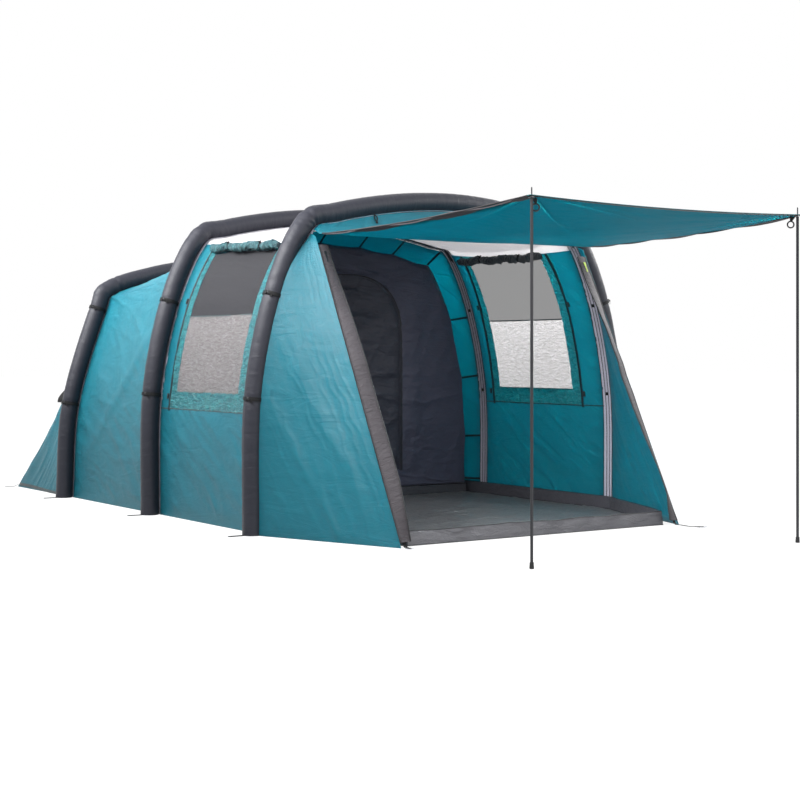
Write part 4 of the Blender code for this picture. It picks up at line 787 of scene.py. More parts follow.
# %% Beam sleeves
STRAP_HEIGHTS = {"front": (0.79, 1.40), "middle": (0.79, 1.40), "rear": (0.69, 1.39)}
SLEEVE_RADIUS, SLEEVE_SIDES, SLEEVE_STEP = 0.0595, 44, 0.011
BLADDER_SIDES, BLADDER_GAP = 16, 0.009
SHOULDER = 3.22
WAIST_DEPTH, WAIST_WIDTH = 0.0042, 0.022
SEAM_DEPTH, SEAM_WIDTH = 0.0050, 0.009


def bend_of(arch, t):
    """How sharply an arch bends at t, in radians a metre."""
    step = 0.06
    a, b = arch.out(np.clip(t - step, 0.01, END - 0.01)), arch.out(np.clip(t + step, 0.01, END - 0.01))
    return np.linalg.norm(b - a, axis=-1) / np.maximum(arch.along(t + step) - arch.along(t - step), 1e-6)


def strap_stations(arch):
    """Where the webbing straps go round a beam, on both legs."""
    for height in STRAP_HEIGHTS[arch.name]:
        station = arch.station(height, 0.0)
        yield from (station, END - station)


def sleeve_radius(arch, t, around, seed):
    """The sleeve's radius at station t and angle around, 0 being the outer side."""
    run, girth = arch.along(t), around * BEAM_RADIUS
    puckers = creases(girth, run, 4.0, 0.16, 0.035, seed, 2.0) - 0.5
    fine = creases(girth, run, -12.0, 0.09, 0.018, seed + 3, 2.5) - 0.4
    slack = hills(girth, run, 0.22, seed + 5)
    bend = np.clip(bend_of(arch, t) / 2.2, 0.0, 1.6)
    inner = 0.35 + 0.65 * (0.5 - 0.5 * np.cos(around))
    radius = SLEEVE_RADIUS + puckers * (0.0005 + 0.0048 * bend * inner)
    radius += fine * (0.0005 + 0.0017 * bend) + slack * 0.0011
    for place in strap_stations(arch):
        radius -= WAIST_DEPTH * dip(run - arch.along(place), WAIST_WIDTH)
    for place in (SHOULDER, END - SHOULDER):
        radius -= SEAM_DEPTH * dip(run - arch.along(place), SEAM_WIDTH)
    return np.minimum(radius, SLEEVE_RADIUS + 0.0025)


def sleeve_middle(arch, t):
    """The sleeve's own middle line, a little inside the arch, most at the crown."""
    return arch.at(t, 0.006 + 0.006 * smooth(2.2, 4.0, np.minimum(t, END - t)))


def sleeve_rings(arch, t, around, radius):
    """Points round the sleeve's middle line, above the ground."""
    line, out = sleeve_middle(arch, t), arch.out(t)
    x = line[..., 0] + out[..., 0] * radius * np.cos(around)
    z = line[..., 1] + out[..., 1] * radius * np.cos(around)
    return coords(x, arch.y + radius * np.sin(around), np.maximum(z, 0.0))


def whole_turn(sides):
    """Angles round a closed ring."""
    return TURN * np.arange(sides) / sides


for seed, arch in zip((11, 23, 37), BEAMS):
    t, around = pairs(arch.even(0.0, END, SLEEVE_STEP), whole_turn(SLEEVE_SIDES))
    rings = sleeve_rings(arch, t, around, sleeve_radius(arch, t, around, seed))
    sleeve = close_rings(f"{arch.name}_sleeve_cloth", rings, SLEEVE)
    settle(sleeve, "tent", "sleeve polyester", f"{arch.name}_beam_sleeve")
    t, around = pairs(arch.even(0.05, END - 0.05, 0.06), whole_turn(BLADDER_SIDES))
    bladder = close_rings(f"{arch.name}_bladder_tube", sleeve_rings(arch, t, around,
                                                                    SLEEVE_RADIUS - BLADDER_GAP),
                          BLADDER)
    settle(bladder, "tent", "bladder film", f"{arch.name}_air_bladder")
    print(arch.name, "sleeve has", len(sleeve.data.polygons), "faces")

# %% [markdown]
# Between two beams the fly is stretched cloth that sinks a little in the middle. One rule gives its
# points from the two arches, with more slack in the roof than in the walls, and each panel is a
# part of that one surface, so that panels meet along their seams.

# %% The cloth between two beams
WALL_SAG, ROOF_SAG, ROOF_EDGE = 0.022, 0.055, 2.85
CELL, ROOF_CELL, REAR_CELL = 0.0135, 0.018, 0.0145
FRONT_BEAMS = ["front_sleeve_cloth", "middle_sleeve_cloth"]
REAR_BEAMS = ["middle_sleeve_cloth", "rear_sleeve_cloth"]


def sag_at(t):
    """How far the cloth sinks between the beams."""
    near = np.minimum(t, END - t)
    return (WALL_SAG + (ROOF_SAG - WALL_SAG) * np.clip(near - 2.0, 0.0, 1.0)) * np.clip(near, 0.0, 1.0)


def between(first, second, inset=FLY_INSET):
    """The stretched surface between two beams, from station t and distance y."""
    def shape(t, y):
        share = np.clip((y - first.y) / (second.y - first.y), 0.0, 1.0)
        drop = inset + sag_at(t) * 4.0 * share * (1.0 - share)
        line = mix(first.at(t, drop), second.at(t, drop), share)
        return coords(line[..., 0], y, line[..., 1])
    return shape


def front_bay(t, y):
    """The front bay's cloth; its roof seam and window heads climb a little towards the middle beam."""
    near = np.minimum(t, END - t)
    climb = 0.16 * (y - FRONT.y) / (MIDDLE.y - FRONT.y) * smooth(2.25, ROOF_EDGE, near) * smooth(4.2, ROOF_EDGE, near)
    return between(FRONT, MIDDLE)(t + climb * np.where(t <= CROWN, 1.0, -1.0), y)


def seam_hold(t):
    """Down to nothing at the seam between wall and roof."""
    return smooth(0.0, 0.22, np.abs(np.minimum(t, END - t) - ROOF_EDGE))


def stations(arch, marks, step=CELL):
    """Even rows along an arch that pass through each mark."""
    runs = [arch.even(a, b, step) for a, b in zip(marks, marks[1:])]
    return np.concatenate([runs[0]] + [run[1:] for run in runs[1:]])


def around_hole(a, b, a_range, b_range):
    """Which cells stay when a window is cut out of a grid."""
    middle_a, middle_b = 0.5 * (a[1:] + a[:-1]), 0.5 * (b[1:] + b[:-1])
    inside_a = (middle_a > min(a_range)) & (middle_a < max(a_range))
    inside_b = (middle_b > min(b_range)) & (middle_b < max(b_range))
    return ~(inside_a[:, None] & inside_b[None, :])


def bay_map(arch):
    """The flat map of a bay: along the tent and up from the ground."""
    return lambda t, y: coords(y, arch.up(t))


def arch_map(arch, length):
    """The flat map of a sheet that runs over an arch and down a share of a length."""
    return lambda t, share: coords(arch.along(t), length * share)


def side_of(label, t):
    """The same station on the named side."""
    return END - np.asarray(t) if label == "left" else np.asarray(t)


print("cells of", CELL * 1000.0, "mm")

# %% [markdown]
# The front room has a left and a right wall. Pulled between two beams and pegged at the ground,
# the cloth shows long creases that run down towards the door, and a band of smaller ones below
# the window. The wall is cut out for the window and its crinkled border, up to the zips.

# %% Front walls
WINDOW_Y = (0.34, 1.17)
WINDOW_Z = (0.81, 1.30, 1.715)
BAND_Z, HEAD_Z, ZIP_FOOT_Z = 0.70, 1.745, 0.69
LOW, SPLIT, HIGH = (FRONT.station(z) for z in WINDOW_Z)
BAND, HEAD = FRONT.station(BAND_Z), FRONT.station(HEAD_Z)


def zip_path(end, share):
    """Where the cover's zip lies beside the window, share 0 at its foot and 1 at its head."""
    spread = 0.100 - 0.030 * share + 0.006 * np.sin(math.pi * share)
    return WINDOW_Y[0] - spread if end == "front" else WINDOW_Y[1] + spread - 0.015


BORDER_Y = (float(zip_path("front", 0.3)), float(zip_path("rear", 0.3)))


def front_wall_wrinkle(seed, crinkled=0.0):
    """The wall's wrinkles; crinkled adds the gathers of the window's border."""
    def wrinkle(t, y):
        up = FRONT.up(t)
        open_cloth = held(y, 0.035, 1.365) * smooth(0.0, 0.10, up) * seam_hold(t)
        window = smooth(0.22, 0.30, y) * smooth(1.29, 1.21, y) * smooth(0.70, 0.80, up)
        below = smooth(0.76, 0.66, up)
        pulled = ridges(y, up, seed, (40.0, 0.95, 0.15, 2.0, 0.0085 * (0.35 + 0.65 * below)),
                        (34.0, 0.55, 0.06, 4.0, 0.0048 * (0.3 + 0.7 * below)),
                        (40.0, 0.26, 0.028, 5.0, 0.0020 + 0.0012 * smooth(0.6, 0.8, up)))
        folds = fold(y, up, (1.30, 0.62), (0.10, 0.08), 0.035, 0.007)
        folds = folds + fold(y, up, (0.95, 0.60), (0.30, 0.20), 0.025, 0.006)
        sway = hills(y, up, 0.45, seed + 3) * 0.004
        gathers = creases(y, up, 62.0, 0.10, 0.024, seed + 9, 2.0) * crinkled if crinkled else 0.0
        return open_cloth * (1.0 - 0.75 * window) * (pulled + folds + sway - 0.006) + gathers
    return wrinkle


def wall_cloth(label, wrinkle):
    """A cloth on the front bay's named side."""
    return Cloth(front_bay, wrinkle, bay_map(FRONT), (side_of(label, [0.5, 1.0, 2.0]), [0.3, 0.7, 1.1]))


FRONT_WALLS = {}
for label, seed in (("left", 101), ("right", 131)):
    cloth = wall_cloth(label, front_wall_wrinkle(seed))
    t = side_of(label, stations(FRONT, (0.0, BAND, HEAD, ROOF_EDGE)))
    y = spaced((TAPE_HALF, *BORDER_Y, MIDDLE.y - TAPE_HALF), CELL)
    keep = around_hole(t, y, side_of(label, (BAND, HEAD)), BORDER_Y)
    wall = cloth.panel(f"front_{label}_wall_cloth", t, y, TEAL, keep=keep)
    FRONT_WALLS[label] = (cloth, wall)
    print(wall.name, len(wall.data.polygons), "faces")

# %% [markdown]
# Each window has insect mesh above and clear film below, sewn edge to edge. The film creases where
# it was folded for packing, so it has its own bent lines; the mesh hangs almost smooth.

# %% Window film and mesh
def film_wrinkle(seed):
    def wrinkle(t, y):
        up = FRONT.up(t)
        edge = held(y, *WINDOW_Y, reach=0.05, rest=0.0)
        return edge * (creases(y, up, -38.0, 0.22, 0.06, seed, 2.0) * 0.0022 + hills(y, up, 0.16,
                                                                                     seed + 1) * 0.0016)
    return wrinkle


for label, seed in (("left", 151), ("right", 171)):
    for part, low, high, finish, slot in (("film", LOW, SPLIT, FILM, "window film"),
                                          ("mesh", SPLIT, HIGH, MESH, "window mesh")):
        pane = wall_cloth(label, film_wrinkle(seed)).panel(
            f"{label}_window_{part}_sheet", side_of(label, stations(FRONT, (low, high))),
            spaced(WINDOW_Y, CELL),
            finish, thickness=0.0008, lift=-0.0003)
        settle(pane, "tent", slot, f"{label}_window_{part}", held="stretched",
               rests_on=[f"front_{label}_wall_cloth"])
print("film and mesh in both windows")

# %% [markdown]
# Round each window runs a border of softer cloth that crinkles along its stitching, and outside it
# the zips of the roll-up cover: a dark coil on a narrow tape, close to the window at the top and
# wider at the bottom, with toggles beside it. A dark seam closes the lower edge.

# %% Window borders, zips and seams
TRIMS = {"left": [], "right": []}
TOGGLE = (0.030, 0.009, 0.015)
TOGGLE_OFFSET = 0.026
TOGGLE_PLACES = ((1.40, 0.68), (0.78, 0.08))
BORDER_CELL = 0.010


def wall_strip(label, name, t, y, width, thick, finish, slot="binding"):
    """A strip that lies half in the wall's cloth and belongs to its sheet."""
    cloth = FRONT_WALLS[label][0]
    strip = ribbon(f"{label}_window_{name}", cloth.at(t, y, -0.5 * (THIN + thick)), cloth.normal(t, y), width,
                   thick, finish)
    TRIMS[label].append(settle(strip, "tent", slot))


for label, seed in (("left", 101), ("right", 131)):
    cloth = FRONT_WALLS[label][0]
    t = side_of(label, stations(FRONT, (BAND, LOW, HIGH, HEAD), BORDER_CELL))
    y = spaced((BORDER_Y[0], *WINDOW_Y, BORDER_Y[1]), BORDER_CELL)
    border = wall_cloth(label, front_wall_wrinkle(seed, 0.0042)).panel(
        f"{label}_window_border", t, y, BORDER, keep=around_hole(t, y, side_of(label, (LOW, HIGH)), WINDOW_Y))
    TRIMS[label].append(settle(border, "tent", "teal polyester"))
    toggles = []
    for end, way in (("front", -TOGGLE_OFFSET), ("rear", TOGGLE_OFFSET)):
        for height, share in TOGGLE_PLACES:
            place = (np.array([float(side_of(label, FRONT.station(height)))]),
                     np.array([float(zip_path(end, share)) + way]))
            normal = cloth.normal(*place)[0]
            along = unit(np.cross(normal, (0.0, 1.0, 0.0)))
            toggles.append(block("toggle", cloth.at(*place, -0.5 * THIN)[0],
                                 (along, (0.0, 1.0, 0.0), normal), TOGGLE,
                                 PLASTIC))
    settle(join(f"{label}_window_toggles", toggles), "tent", "black plastic")
    up = np.linspace(0.0, 1.0, 90)
    foot = FRONT.station(ZIP_FOOT_Z)
    t = side_of(label, foot + (HEAD - foot) * up)
    for end in ("front", "rear"):
        line = cloth.at(t, zip_path(end, up), -0.5 * THIN)
        teeth = rods(f"{label}_window_{end}_teeth", line, 0.012, 0.006, 0.0078, ZIP_BLACK)
        settle(teeth, "tent", "black plastic")
        wall_strip(label, f"{end}_zip_tape", t, zip_path(end, up), 0.018, 0.0090, DARK_HEM, "zip tape")
        wall_strip(label, f"{end}_zip_coil", t, zip_path(end, up), 0.010, 0.0124, ZIP_BLACK, "zip tape")
    wall_strip(label, "lower_seam", side_of(label, BAND), np.linspace(0.036, 1.364, 110), 0.0075, 0.006,
               DARK_HEM)
    for height, name, finish in zip(WINDOW_Z, ("sill", "split", "head"), (BORDER, DARK_HEM, BORDER)):
        wall_strip(label, f"{name}_welt", side_of(label, FRONT.station(height)), np.linspace(*WINDOW_Y, 60),
                   0.008,
                   0.0052, finish)
for label in ("left", "right"):
    settle(FRONT_WALLS[label][1], "tent", "teal polyester", f"front_{label}_wall", held="stretched",
           rests_on=FRONT_BEAMS, extras=TRIMS[label])
print("trims on each wall:", len(TRIMS["left"]))

# %% [markdown]
# The covers are rolled up over the windows and tied: outside on the left, inside on the right. A
# hand-rolled cloth is lumpy, thick between its ties and nipped at them, with a spiral of layers
# at its ends. The roll is a tube with creases along and round it, and the ties are webbing loops.

# %% Window rolls
ROLL_Y = (0.289, 1.221)
ROLL_STEPS, ROLL_SIDES = 220, 30
ROLL_RADIUS, NIP_RADIUS = 0.0265, 0.0205
TIE_PLACES = (0.25, 0.72)


def roll(label, finish, seed, slope, lift):
    """A rolled cover with its two ties; slope is its rise from front to rear, lift how far it sits
    above its solid."""
    low, high = box(f"{label}_window_roll")
    centre = 0.5 * (low + high)
    y = np.linspace(*ROLL_Y, ROLL_STEPS)
    share = (y - y[0]) / (y[-1] - y[0])
    rise = slope[0] + (slope[1] - slope[0]) * share
    sag = 0.012 * np.abs(np.sin(3.0 * math.pi * (share - 0.08)))
    line = coords(centre[0] - 0.6 * np.sign(centre[0]) * rise, y,
                  centre[2] + lift + rise - sag + 0.003 * hills(y, 0.0, 0.2, seed))
    run, angle = pairs(y, whole_turn(ROLL_SIDES))
    girth = angle * 0.026
    radius = ROLL_RADIUS + 0.0100 * (creases(run, girth, 62.0, 0.10, 0.024, seed) - 0.4)
    radius += 0.0030 * hills(run, girth, 0.05, seed + 2) + 0.0018 * (angle / TURN - 0.5)
    radius += 0.0050 * (creases(run, girth, 20.0, 0.07, 0.016, seed + 4) - 0.3)
    for place in TIE_PLACES:
        radius *= 1.0 - 0.34 * dip(run - y[0] - place * (y[-1] - y[0]), 0.022)
    radius *= 0.72 + 0.28 * smooth(0.0, 0.03, run - y[0]) * smooth(0.0, 0.03, y[-1] - run)
    body = close_rings(f"{label}_window_roll_cloth",
                       line[:, None] + coords(radius * np.cos(angle), 0.0, radius * np.sin(angle)), finish)
    settle(body, "tent", "teal polyester", f"{label}_window_roll")
    ties = []
    for place in TIE_PLACES:
        turn = np.linspace(0.0, TURN, 33)
        middle = line[int(place * (ROLL_STEPS - 1))]
        hoop = middle + coords(np.cos(turn), 0.0, np.sin(turn)) * NIP_RADIUS
        ties.append(ribbon("tie", hoop, hoop - middle, 0.012, 0.0022, WEBBING))
        knot = middle + (-0.012, 0.0, 0.020)
        ties.append(block("knot", knot, np.eye(3), (0.012, 0.016, 0.010), WEBBING))
        for way in (-1.0, 1.0):
            drop = np.linspace(0.0, 1.0, 12)[:, None]
            bow = knot + drop * (-0.010, way * 0.030, 0.0) + np.sin(math.pi * drop * 0.9) * (-0.004, 0.0,
                                                                                             0.010)
            ties.append(ribbon("bow", bow, (-0.5, 0.0, 1.0), 0.010, 0.002, WEBBING))
    settle(join(f"{label}_window_roll_ties", ties), "tent", "webbing")


# Both rolls take their light and dark from their crumples: painted highlight on the crests and painted shade in the
# hollows. The right roll, inside, is a darker copy of the same cloth: painted shade.
ROLL_TEAL = woven("crumpled teal cover with painted fold shade", "#7CCBCF", "#07303D", {"Roughness": 0.36, "Specular IOR Level": 0.6},
                  crinkle=0.014, crinkle_size=0.020, turn=0.5, painted_fold_shading=True)
ROLL_PAINTED_SHADE = woven("rolled cover in painted shade", "#1F4450", "#101F29",
                   {"Roughness": 0.5, "Sheen Weight": 0.2},
                   crinkle=0.008, crinkle_size=0.014, painted_fold_shading=True)
roll("left", ROLL_TEAL, 201, (-0.016, 0.018), 0.0)
roll("right", ROLL_PAINTED_SHADE, 211, (-0.004, 0.006), 0.028)
print("two rolled covers")

# %% [markdown]
# The roof over the front room is pale, so that it lets the light in. It lies slack between the
# beams, with shallow hollows and a few creases across it, and meets both walls at a seam. The
# rear room's roof is made by the same rule in teal.

# %% Roofs
def roof_wrinkle(first, second, seed):
    def wrinkle(t, y):
        run = FRONT.along(t)
        edge = held(y, first.y + TAPE_HALF, second.y - TAPE_HALF) * seam_hold(t)
        soft = hills(y, run, 0.35, seed) * 0.008
        soft = soft + ridges(y, run, seed + 1, (80.0, 0.8, 0.14, 2.0, 0.006), (15.0, 0.3, 0.06, 3.0, 0.0012))
        return edge * (soft - 0.004)
    return wrinkle


def make_roof(name, node, shape, first, second, seed, finish, beams):
    """A roof between two beams, on the shape of its bay."""
    cloth = Cloth(shape, roof_wrinkle(first, second, seed), bay_map(first),
                  ([5.0, 6.0, 7.0], [first.y + 0.3, second.y - 0.3]))
    made = cloth.panel(name, first.even(ROOF_EDGE, END - ROOF_EDGE, ROOF_CELL),
                       spaced((first.y + TAPE_HALF, second.y - TAPE_HALF), ROOF_CELL), finish)
    settle(made, "tent", "pale polyester" if finish is PALE else "teal polyester", node, held="stretched",
           rests_on=beams)
    print(name, [round(v, 2) for v in made["flat"]])


make_roof("front_roof_cloth", "front_roof", front_bay, FRONT, MIDDLE, 301, PALE, FRONT_BEAMS)

# %% [markdown]
# The rear room has plain teal walls and roof. The long creases fan out from the middle beam's foot
# and shoulder, where the pegs and the beams pull, and flatten towards the rear beam.

# %% Rear bay
REAR_Y = (MIDDLE.y + TAPE_HALF, REAR.y - TAPE_HALF)


def rear_wall_wrinkle(seed):
    def wrinkle(t, y):
        up = MIDDLE.up(t)
        free = held(y, *REAR_Y) * smooth(0.0, 0.10, up) * seam_hold(t)
        fan = ridges(y, up, seed, (38.0, 1.2, 0.18, 2.0, 0.009), (24.0, 0.6, 0.07, 4.0, 0.005),
                     (44.0, 0.28, 0.03, 5.0, 0.0024))
        folds = fold(y, up, (1.55, 1.45), (2.65, 0.35), 0.06, 0.010)
        folds = folds + fold(y, up, (2.70, 1.10), (1.75, 0.10), 0.045, 0.008)
        return free * (fan + folds + hills(y, up, 0.5, seed + 3) * 0.006 - 0.008)
    return wrinkle


for label, seed in (("left", 321), ("right", 341)):
    cloth = Cloth(between(MIDDLE, REAR), rear_wall_wrinkle(seed), bay_map(MIDDLE),
                  (side_of(label, [0.5, 1.0, 2.0]), [1.7, 2.1, 2.5]))
    wall = cloth.panel(f"rear_{label}_wall_cloth", side_of(label, MIDDLE.even(0.0, ROOF_EDGE, REAR_CELL)),
                       spaced(REAR_Y, REAR_CELL), TEAL)
    settle(wall, "tent", "teal polyester", f"rear_{label}_wall", held="stretched", rests_on=REAR_BEAMS)
make_roof("rear_roof_cloth", "rear_roof", between(MIDDLE, REAR), MIDDLE, REAR, 361, TEAL, REAR_BEAMS)

# %% [markdown]
# Behind the rear beam the fly drops to the ground in one piece, pegged at two corners. Its rule
# joins each point of the rear arch to a point on the ground line behind it.

# %% Tail
TAIL_HALF_WIDTH, TAIL_Y, TAIL_START, TAIL_SAG = 1.35, 3.98, 0.12, 0.04
CORNER = 3.0


def tail(inset=FLY_INSET, half_width=TAIL_HALF_WIDTH, rear_y=TAIL_Y, ground=0.0):
    """The tail's surface from station t and share v, 0 at the beam and 1 on the ground."""
    def shape(t, v):
        near = np.minimum(t, END - t)
        line = REAR.at(near, inset)
        start_y = REAR.y + TAPE_HALF + CLOTH
        low = np.clip(near / CORNER, 0.0, 1.0)
        across = np.clip((near - CORNER) / (CROWN - CORNER), 0.0, 1.0)
        x = np.where(near <= CORNER, (HALF_WIDTH - inset) * (1.0 - low) + half_width * low,
                     half_width * (1.0 - across))
        y = np.where(near <= CORNER, (start_y + TAIL_START) * (1.0 - low) + rear_y * low, rear_y)
        point = mix(coords(line[..., 0], start_y, np.maximum(line[..., 1], ground)), coords(x, y, ground), v)
        inward = np.array((0.0, MIDDLE.y, 0.0)) - point
        inward[..., 2] = 0.0
        sag = TAIL_SAG * 4.0 * v * (1.0 - v) * np.clip(near, 0.0, 1.0)
        point = point + unit(inward) * sag[..., None]
        point[..., 0] *= np.where(t <= CROWN, 1.0, -1.0)
        return point
    return shape


def tail_wrinkle(t, v):
    run, down, near = REAR.along(t), v * 1.7, np.minimum(t, END - t)
    free = held(v, 0.0, 1.0, 0.06, 0.0) * held(t, 0.0, END, 0.4, 0.0) * (0.2 + 0.8 * smooth(1.2, 3.0, near))
    radial = ridges(run, down, 401, (84.0, 1.2, 0.16, 2.0, 0.010), (70.0, 0.5, 0.07, 3.0, 0.005),
                    (88.0, 0.8, 0.05, 2.0, 0.008 * dip(near - CORNER, 0.5)))
    return free * (radial + hills(run, down, 0.4, 404) * 0.006 - 0.007)


TAIL = Cloth(tail(), tail_wrinkle, arch_map(REAR, 1.4), ([1.0, 4.0, 6.5, 9.0], [0.2, 0.5, 0.8]))
tail_cloth = TAIL.panel("tail_cloth", REAR.even(0.0, END, ROOF_CELL), np.linspace(0.0, 1.0, 72), TEAL)
print("tail", [round(v, 2) for v in tail_cloth["flat"]])

# %% [markdown]
# The tail's pegging straps are folded webbing sewn to its corners, and the hem along the ground is
# a darker tape. The small vent low on the left is a stiffened hood of black cloth with a wired rim
# that stands off the fly; it tilts shut on its top edge, so it rides on its own body.

# %% Tail trims and vent hood
STRAP_WIDTH = 0.022
HEM_PLACE = 0.985
t = REAR.even(0.02, END - 0.02, 0.03)
hem = ribbon("tail_hem", TAIL.at(t, HEM_PLACE, 0.0012), TAIL.normal(t, HEM_PLACE), STRAP_WIDTH, 0.0014,
             DARK_HEM)
settle(hem, "tent", "binding")
settle(tail_cloth, "tent", "teal polyester", "tail_panel", held="stretched", rests_on=["rear_sleeve_cloth"],
       extras=[hem])
heading = math.radians(20.0)
for side, label in SIDES:
    out = np.array((side * math.cos(heading), math.sin(heading), 0.0))
    run = np.linspace(-0.02, 0.10, 26)
    line = np.array((side * TAIL_HALF_WIDTH, TAIL_Y, 0.0)) + out * run[:, None]
    line[:, 2] = 0.0006 + 0.012 * dip(run, 0.018)
    strap = ribbon(f"tail_{label}_strap_webbing", line, UPWARD, STRAP_WIDTH, 0.0018, WEBBING)
    settle(strap, "tent", "webbing", f"tail_{label}_strap")

low, high = box("rear_vent_hood")
down, across = pairs(np.linspace(0.0, 1.0, 26), np.linspace(0.0, 1.0, 44))
flat = coords(across * 0.2, down * 0.13)
swell = np.sin(0.5 * math.pi * down) * (0.35 + 0.65 * np.sin(math.pi * across))
ripple = 0.0016 * hills(flat[..., 0], flat[..., 1], 0.03, 420)
outer = coords(high[0] - 0.001 - (high[0] - low[0] - 0.003) * swell - ripple * down,
               low[1] + 0.001 + (high[1] - low[1] - 0.002) * across, high[2] - (high[2] - low[2]) * down)
inward = np.array((0.0022, 0.0, -0.0006))
hood = shell("vent_hood_cloth", outer, outer + inward, flat, WEBBING)
settle(hood, "vent_hood", "inner fabric", "rear_vent_hood")
settle(tube("vent_hood_wire", outer[-1] + inward * 0.5, 0.0022, ZIP_BLACK, 8), "vent_hood", "binding")
print("vent hood from", low.round(3), "to", high.round(3))

# %% [markdown]
# The wings close the sides of the doorway. Each is a three-cornered sheet from the front beam's
# leg to a straight leading edge, pulled tight by its peg, so its creases run from the top of the
# edge down to the leg and from the peg upwards.

# %% Wings
LEAD_X, LEAD_TOP, LEAD_FOOT_Y = 1.03, np.array((0.0, -0.10, 1.745)), -1.0
LEAD_DIRECTION = unit(np.array((0.0, LEAD_FOOT_Y - LEAD_TOP[1], -LEAD_TOP[2])))
LEAD_LENGTH = math.hypot(LEAD_FOOT_Y - LEAD_TOP[1], LEAD_TOP[2])
DOOR_OUT = np.array((0.0, LEAD_DIRECTION[2], -LEAD_DIRECTION[1]))
HINGE = LEAD_TOP + DOOR_OUT * 0.035
WING_TOP, WING_SAG, WING_CELL, WING_COLUMNS = 2.92, 0.06, 0.0125, 84
WING_HEIGHT = float(FRONT.at(WING_TOP, FLY_INSET)[1])


def lead(side, distance, x=LEAD_X):
    """A point on a leading edge, a distance down from its top."""
    return LEAD_TOP + LEAD_DIRECTION * np.asarray(distance, float)[..., None] + np.array((side * x, 0.0, 0.0))


def wing(side):
    """A wing's surface; the left one starts further out on the beam's leg, as its sleeve shows."""
    def shape(t, share):
        top = smooth(2.2, 2.9, t) if side < 0.0 else np.ones_like(t)
        leg = FRONT.at(t, 0.020 + (FLY_INSET - 0.020) * top)
        rear = coords(side * leg[..., 0], -0.0585 + (0.0585 - TAPE_HALF - 0.0018) * top, leg[..., 1])
        front = lead(side, LEAD_LENGTH * (1.0 - leg[..., 1] / WING_HEIGHT), LEAD_X + CLOTH + 0.0003)
        wide = np.linalg.norm(front - rear, axis=-1) / LEAD_LENGTH
        point = mix(rear, front, share)
        point[..., 0] -= side * WING_SAG * 4.0 * share * (1.0 - share) * np.clip(t, 0.0, 1.0) * wide
        return point
    return shape


def wing_map(t, share):
    """Distance from the leg and up from the ground."""
    up = FRONT.up(t)
    return coords(share * (0.97 - 0.42 * up), up)


def wing_wrinkle(seed):
    def wrinkle(t, share):
        flat = wing_map(t, share)
        out, up = flat[..., 0], flat[..., 1]
        free = held(share, 0.0, 1.0, 0.10, 0.08) * smooth(0.0, 0.08, up) * smooth(0.0, 0.2, WING_TOP - t)
        calm = 0.25 + 0.75 * smooth(1.65, 0.9, up)
        pulled = ridges(out, up, seed, (112.0, 1.5, 0.12, 2.0, 0.0060), (120.0, 0.8, 0.05, 4.0, 0.0040),
                        (118.0, 0.30, 0.022, 5.0, 0.0014))
        folds = fold(out, up, (0.03, 1.30), (0.80, 0.05), 0.05, 0.009)
        folds = folds + fold(out, up, (0.05, 0.75), (0.55, 0.04), 0.035, 0.007)
        return free * calm * (pulled + folds + hills(out, up, 0.35, seed + 3) * 0.0035 - 0.005)
    return wrinkle


WINGS = {}
for (side, label), seed in zip(SIDES, (441, 461)):
    cloth = Cloth(wing(side), wing_wrinkle(seed), wing_map, ([0.5, 1.0, 2.0], [0.2, 0.5, 0.8]))
    WINGS[label] = cloth.panel(f"{label}_wing_cloth", FRONT.even(0.0, WING_TOP, WING_CELL),
                               np.linspace(0.0, 1.0, WING_COLUMNS), TEAL)
    print(label, "wing", [round(v, 2) for v in WINGS[label]["flat"]])

# %% [markdown]
# A heavy woven binding runs down each leading edge and carries the door's zip. It is a soft band
# that twists a little on its way down, with a dark cord along each side and the coil in between.

# %% Wing bindings and door zips
for side, label in SIDES:
    run = np.linspace(0.055, LEAD_LENGTH - 0.032, 150)
    share = (run - run[0]) / (run[-1] - run[0])
    wide = 0.068 + 0.024 * smooth(0.0, 0.45, share) * smooth(1.0, 0.80, share)
    turn = 0.60 * smooth(0.02, 0.45, share) * smooth(1.02, 0.90, share)
    turn = turn + 0.16 * np.sin(9.0 * share) * smooth(0.1, 0.3, share)
    outside = np.array((side, 0.0, 0.0))
    inward = DOOR_OUT * np.sin(turn)[:, None] - outside * np.cos(turn)[:, None]
    up = DOOR_OUT * np.cos(turn)[:, None] + outside * np.sin(turn)[:, None]
    middle = lead(side, run) + inward * (0.5 * wide)[:, None] - DOOR_OUT * 0.003
    middle = middle + up * (0.0035 * hills(run, 0.0, 0.11, 471) - 0.002)[:, None]
    band = ribbon(f"{label}_wing_binding_band", middle, up, wide, 0.003, BINDING, columns=9, crown=0.006)
    across = unit(np.cross(unit(np.gradient(middle, axis=0)), up))
    parts = []
    for name, place, radius in (("inner_cord", -0.47, 0.0034), ("outer_cord", 0.47, 0.0034),
                                ("door_zip_coil", 0.12, 0.0030)):
        line = middle + across * (wide * place)[:, None] + up * 0.0045
        parts.append(tube(f"{label}_{name}", line, radius, ZIP_BLACK, 7))
    parts.append(rods(f"{label}_door_zip_teeth", line, 0.009, 0.0045, 0.0042, ZIP_BLACK))
    for number, place in enumerate((-0.36, 0.36)):
        line = middle + across * (wide * place)[:, None] + up * 0.0062
        parts.append(rods(f"{label}_binding_stitches_{number}", line, 0.012, 0.007, 0.0009, SEWN))
    for part in parts:
        settle(part, "tent", "black plastic")
    settle(band, "tent", "binding", f"{label}_wing_binding")
    settle(WINGS[label], "tent", "teal polyester", f"{label}_wing", held="stretched",
           rests_on=["front_sleeve_cloth", band.name])
print("bindings are", round(LEAD_LENGTH, 2), "m long")

# %% [markdown]
# Above the door a curved gable panel joins the front beam to the line where the door starts. Two
# short ties of doubled webbing hang on it, to hold the door panel when it is rolled up.

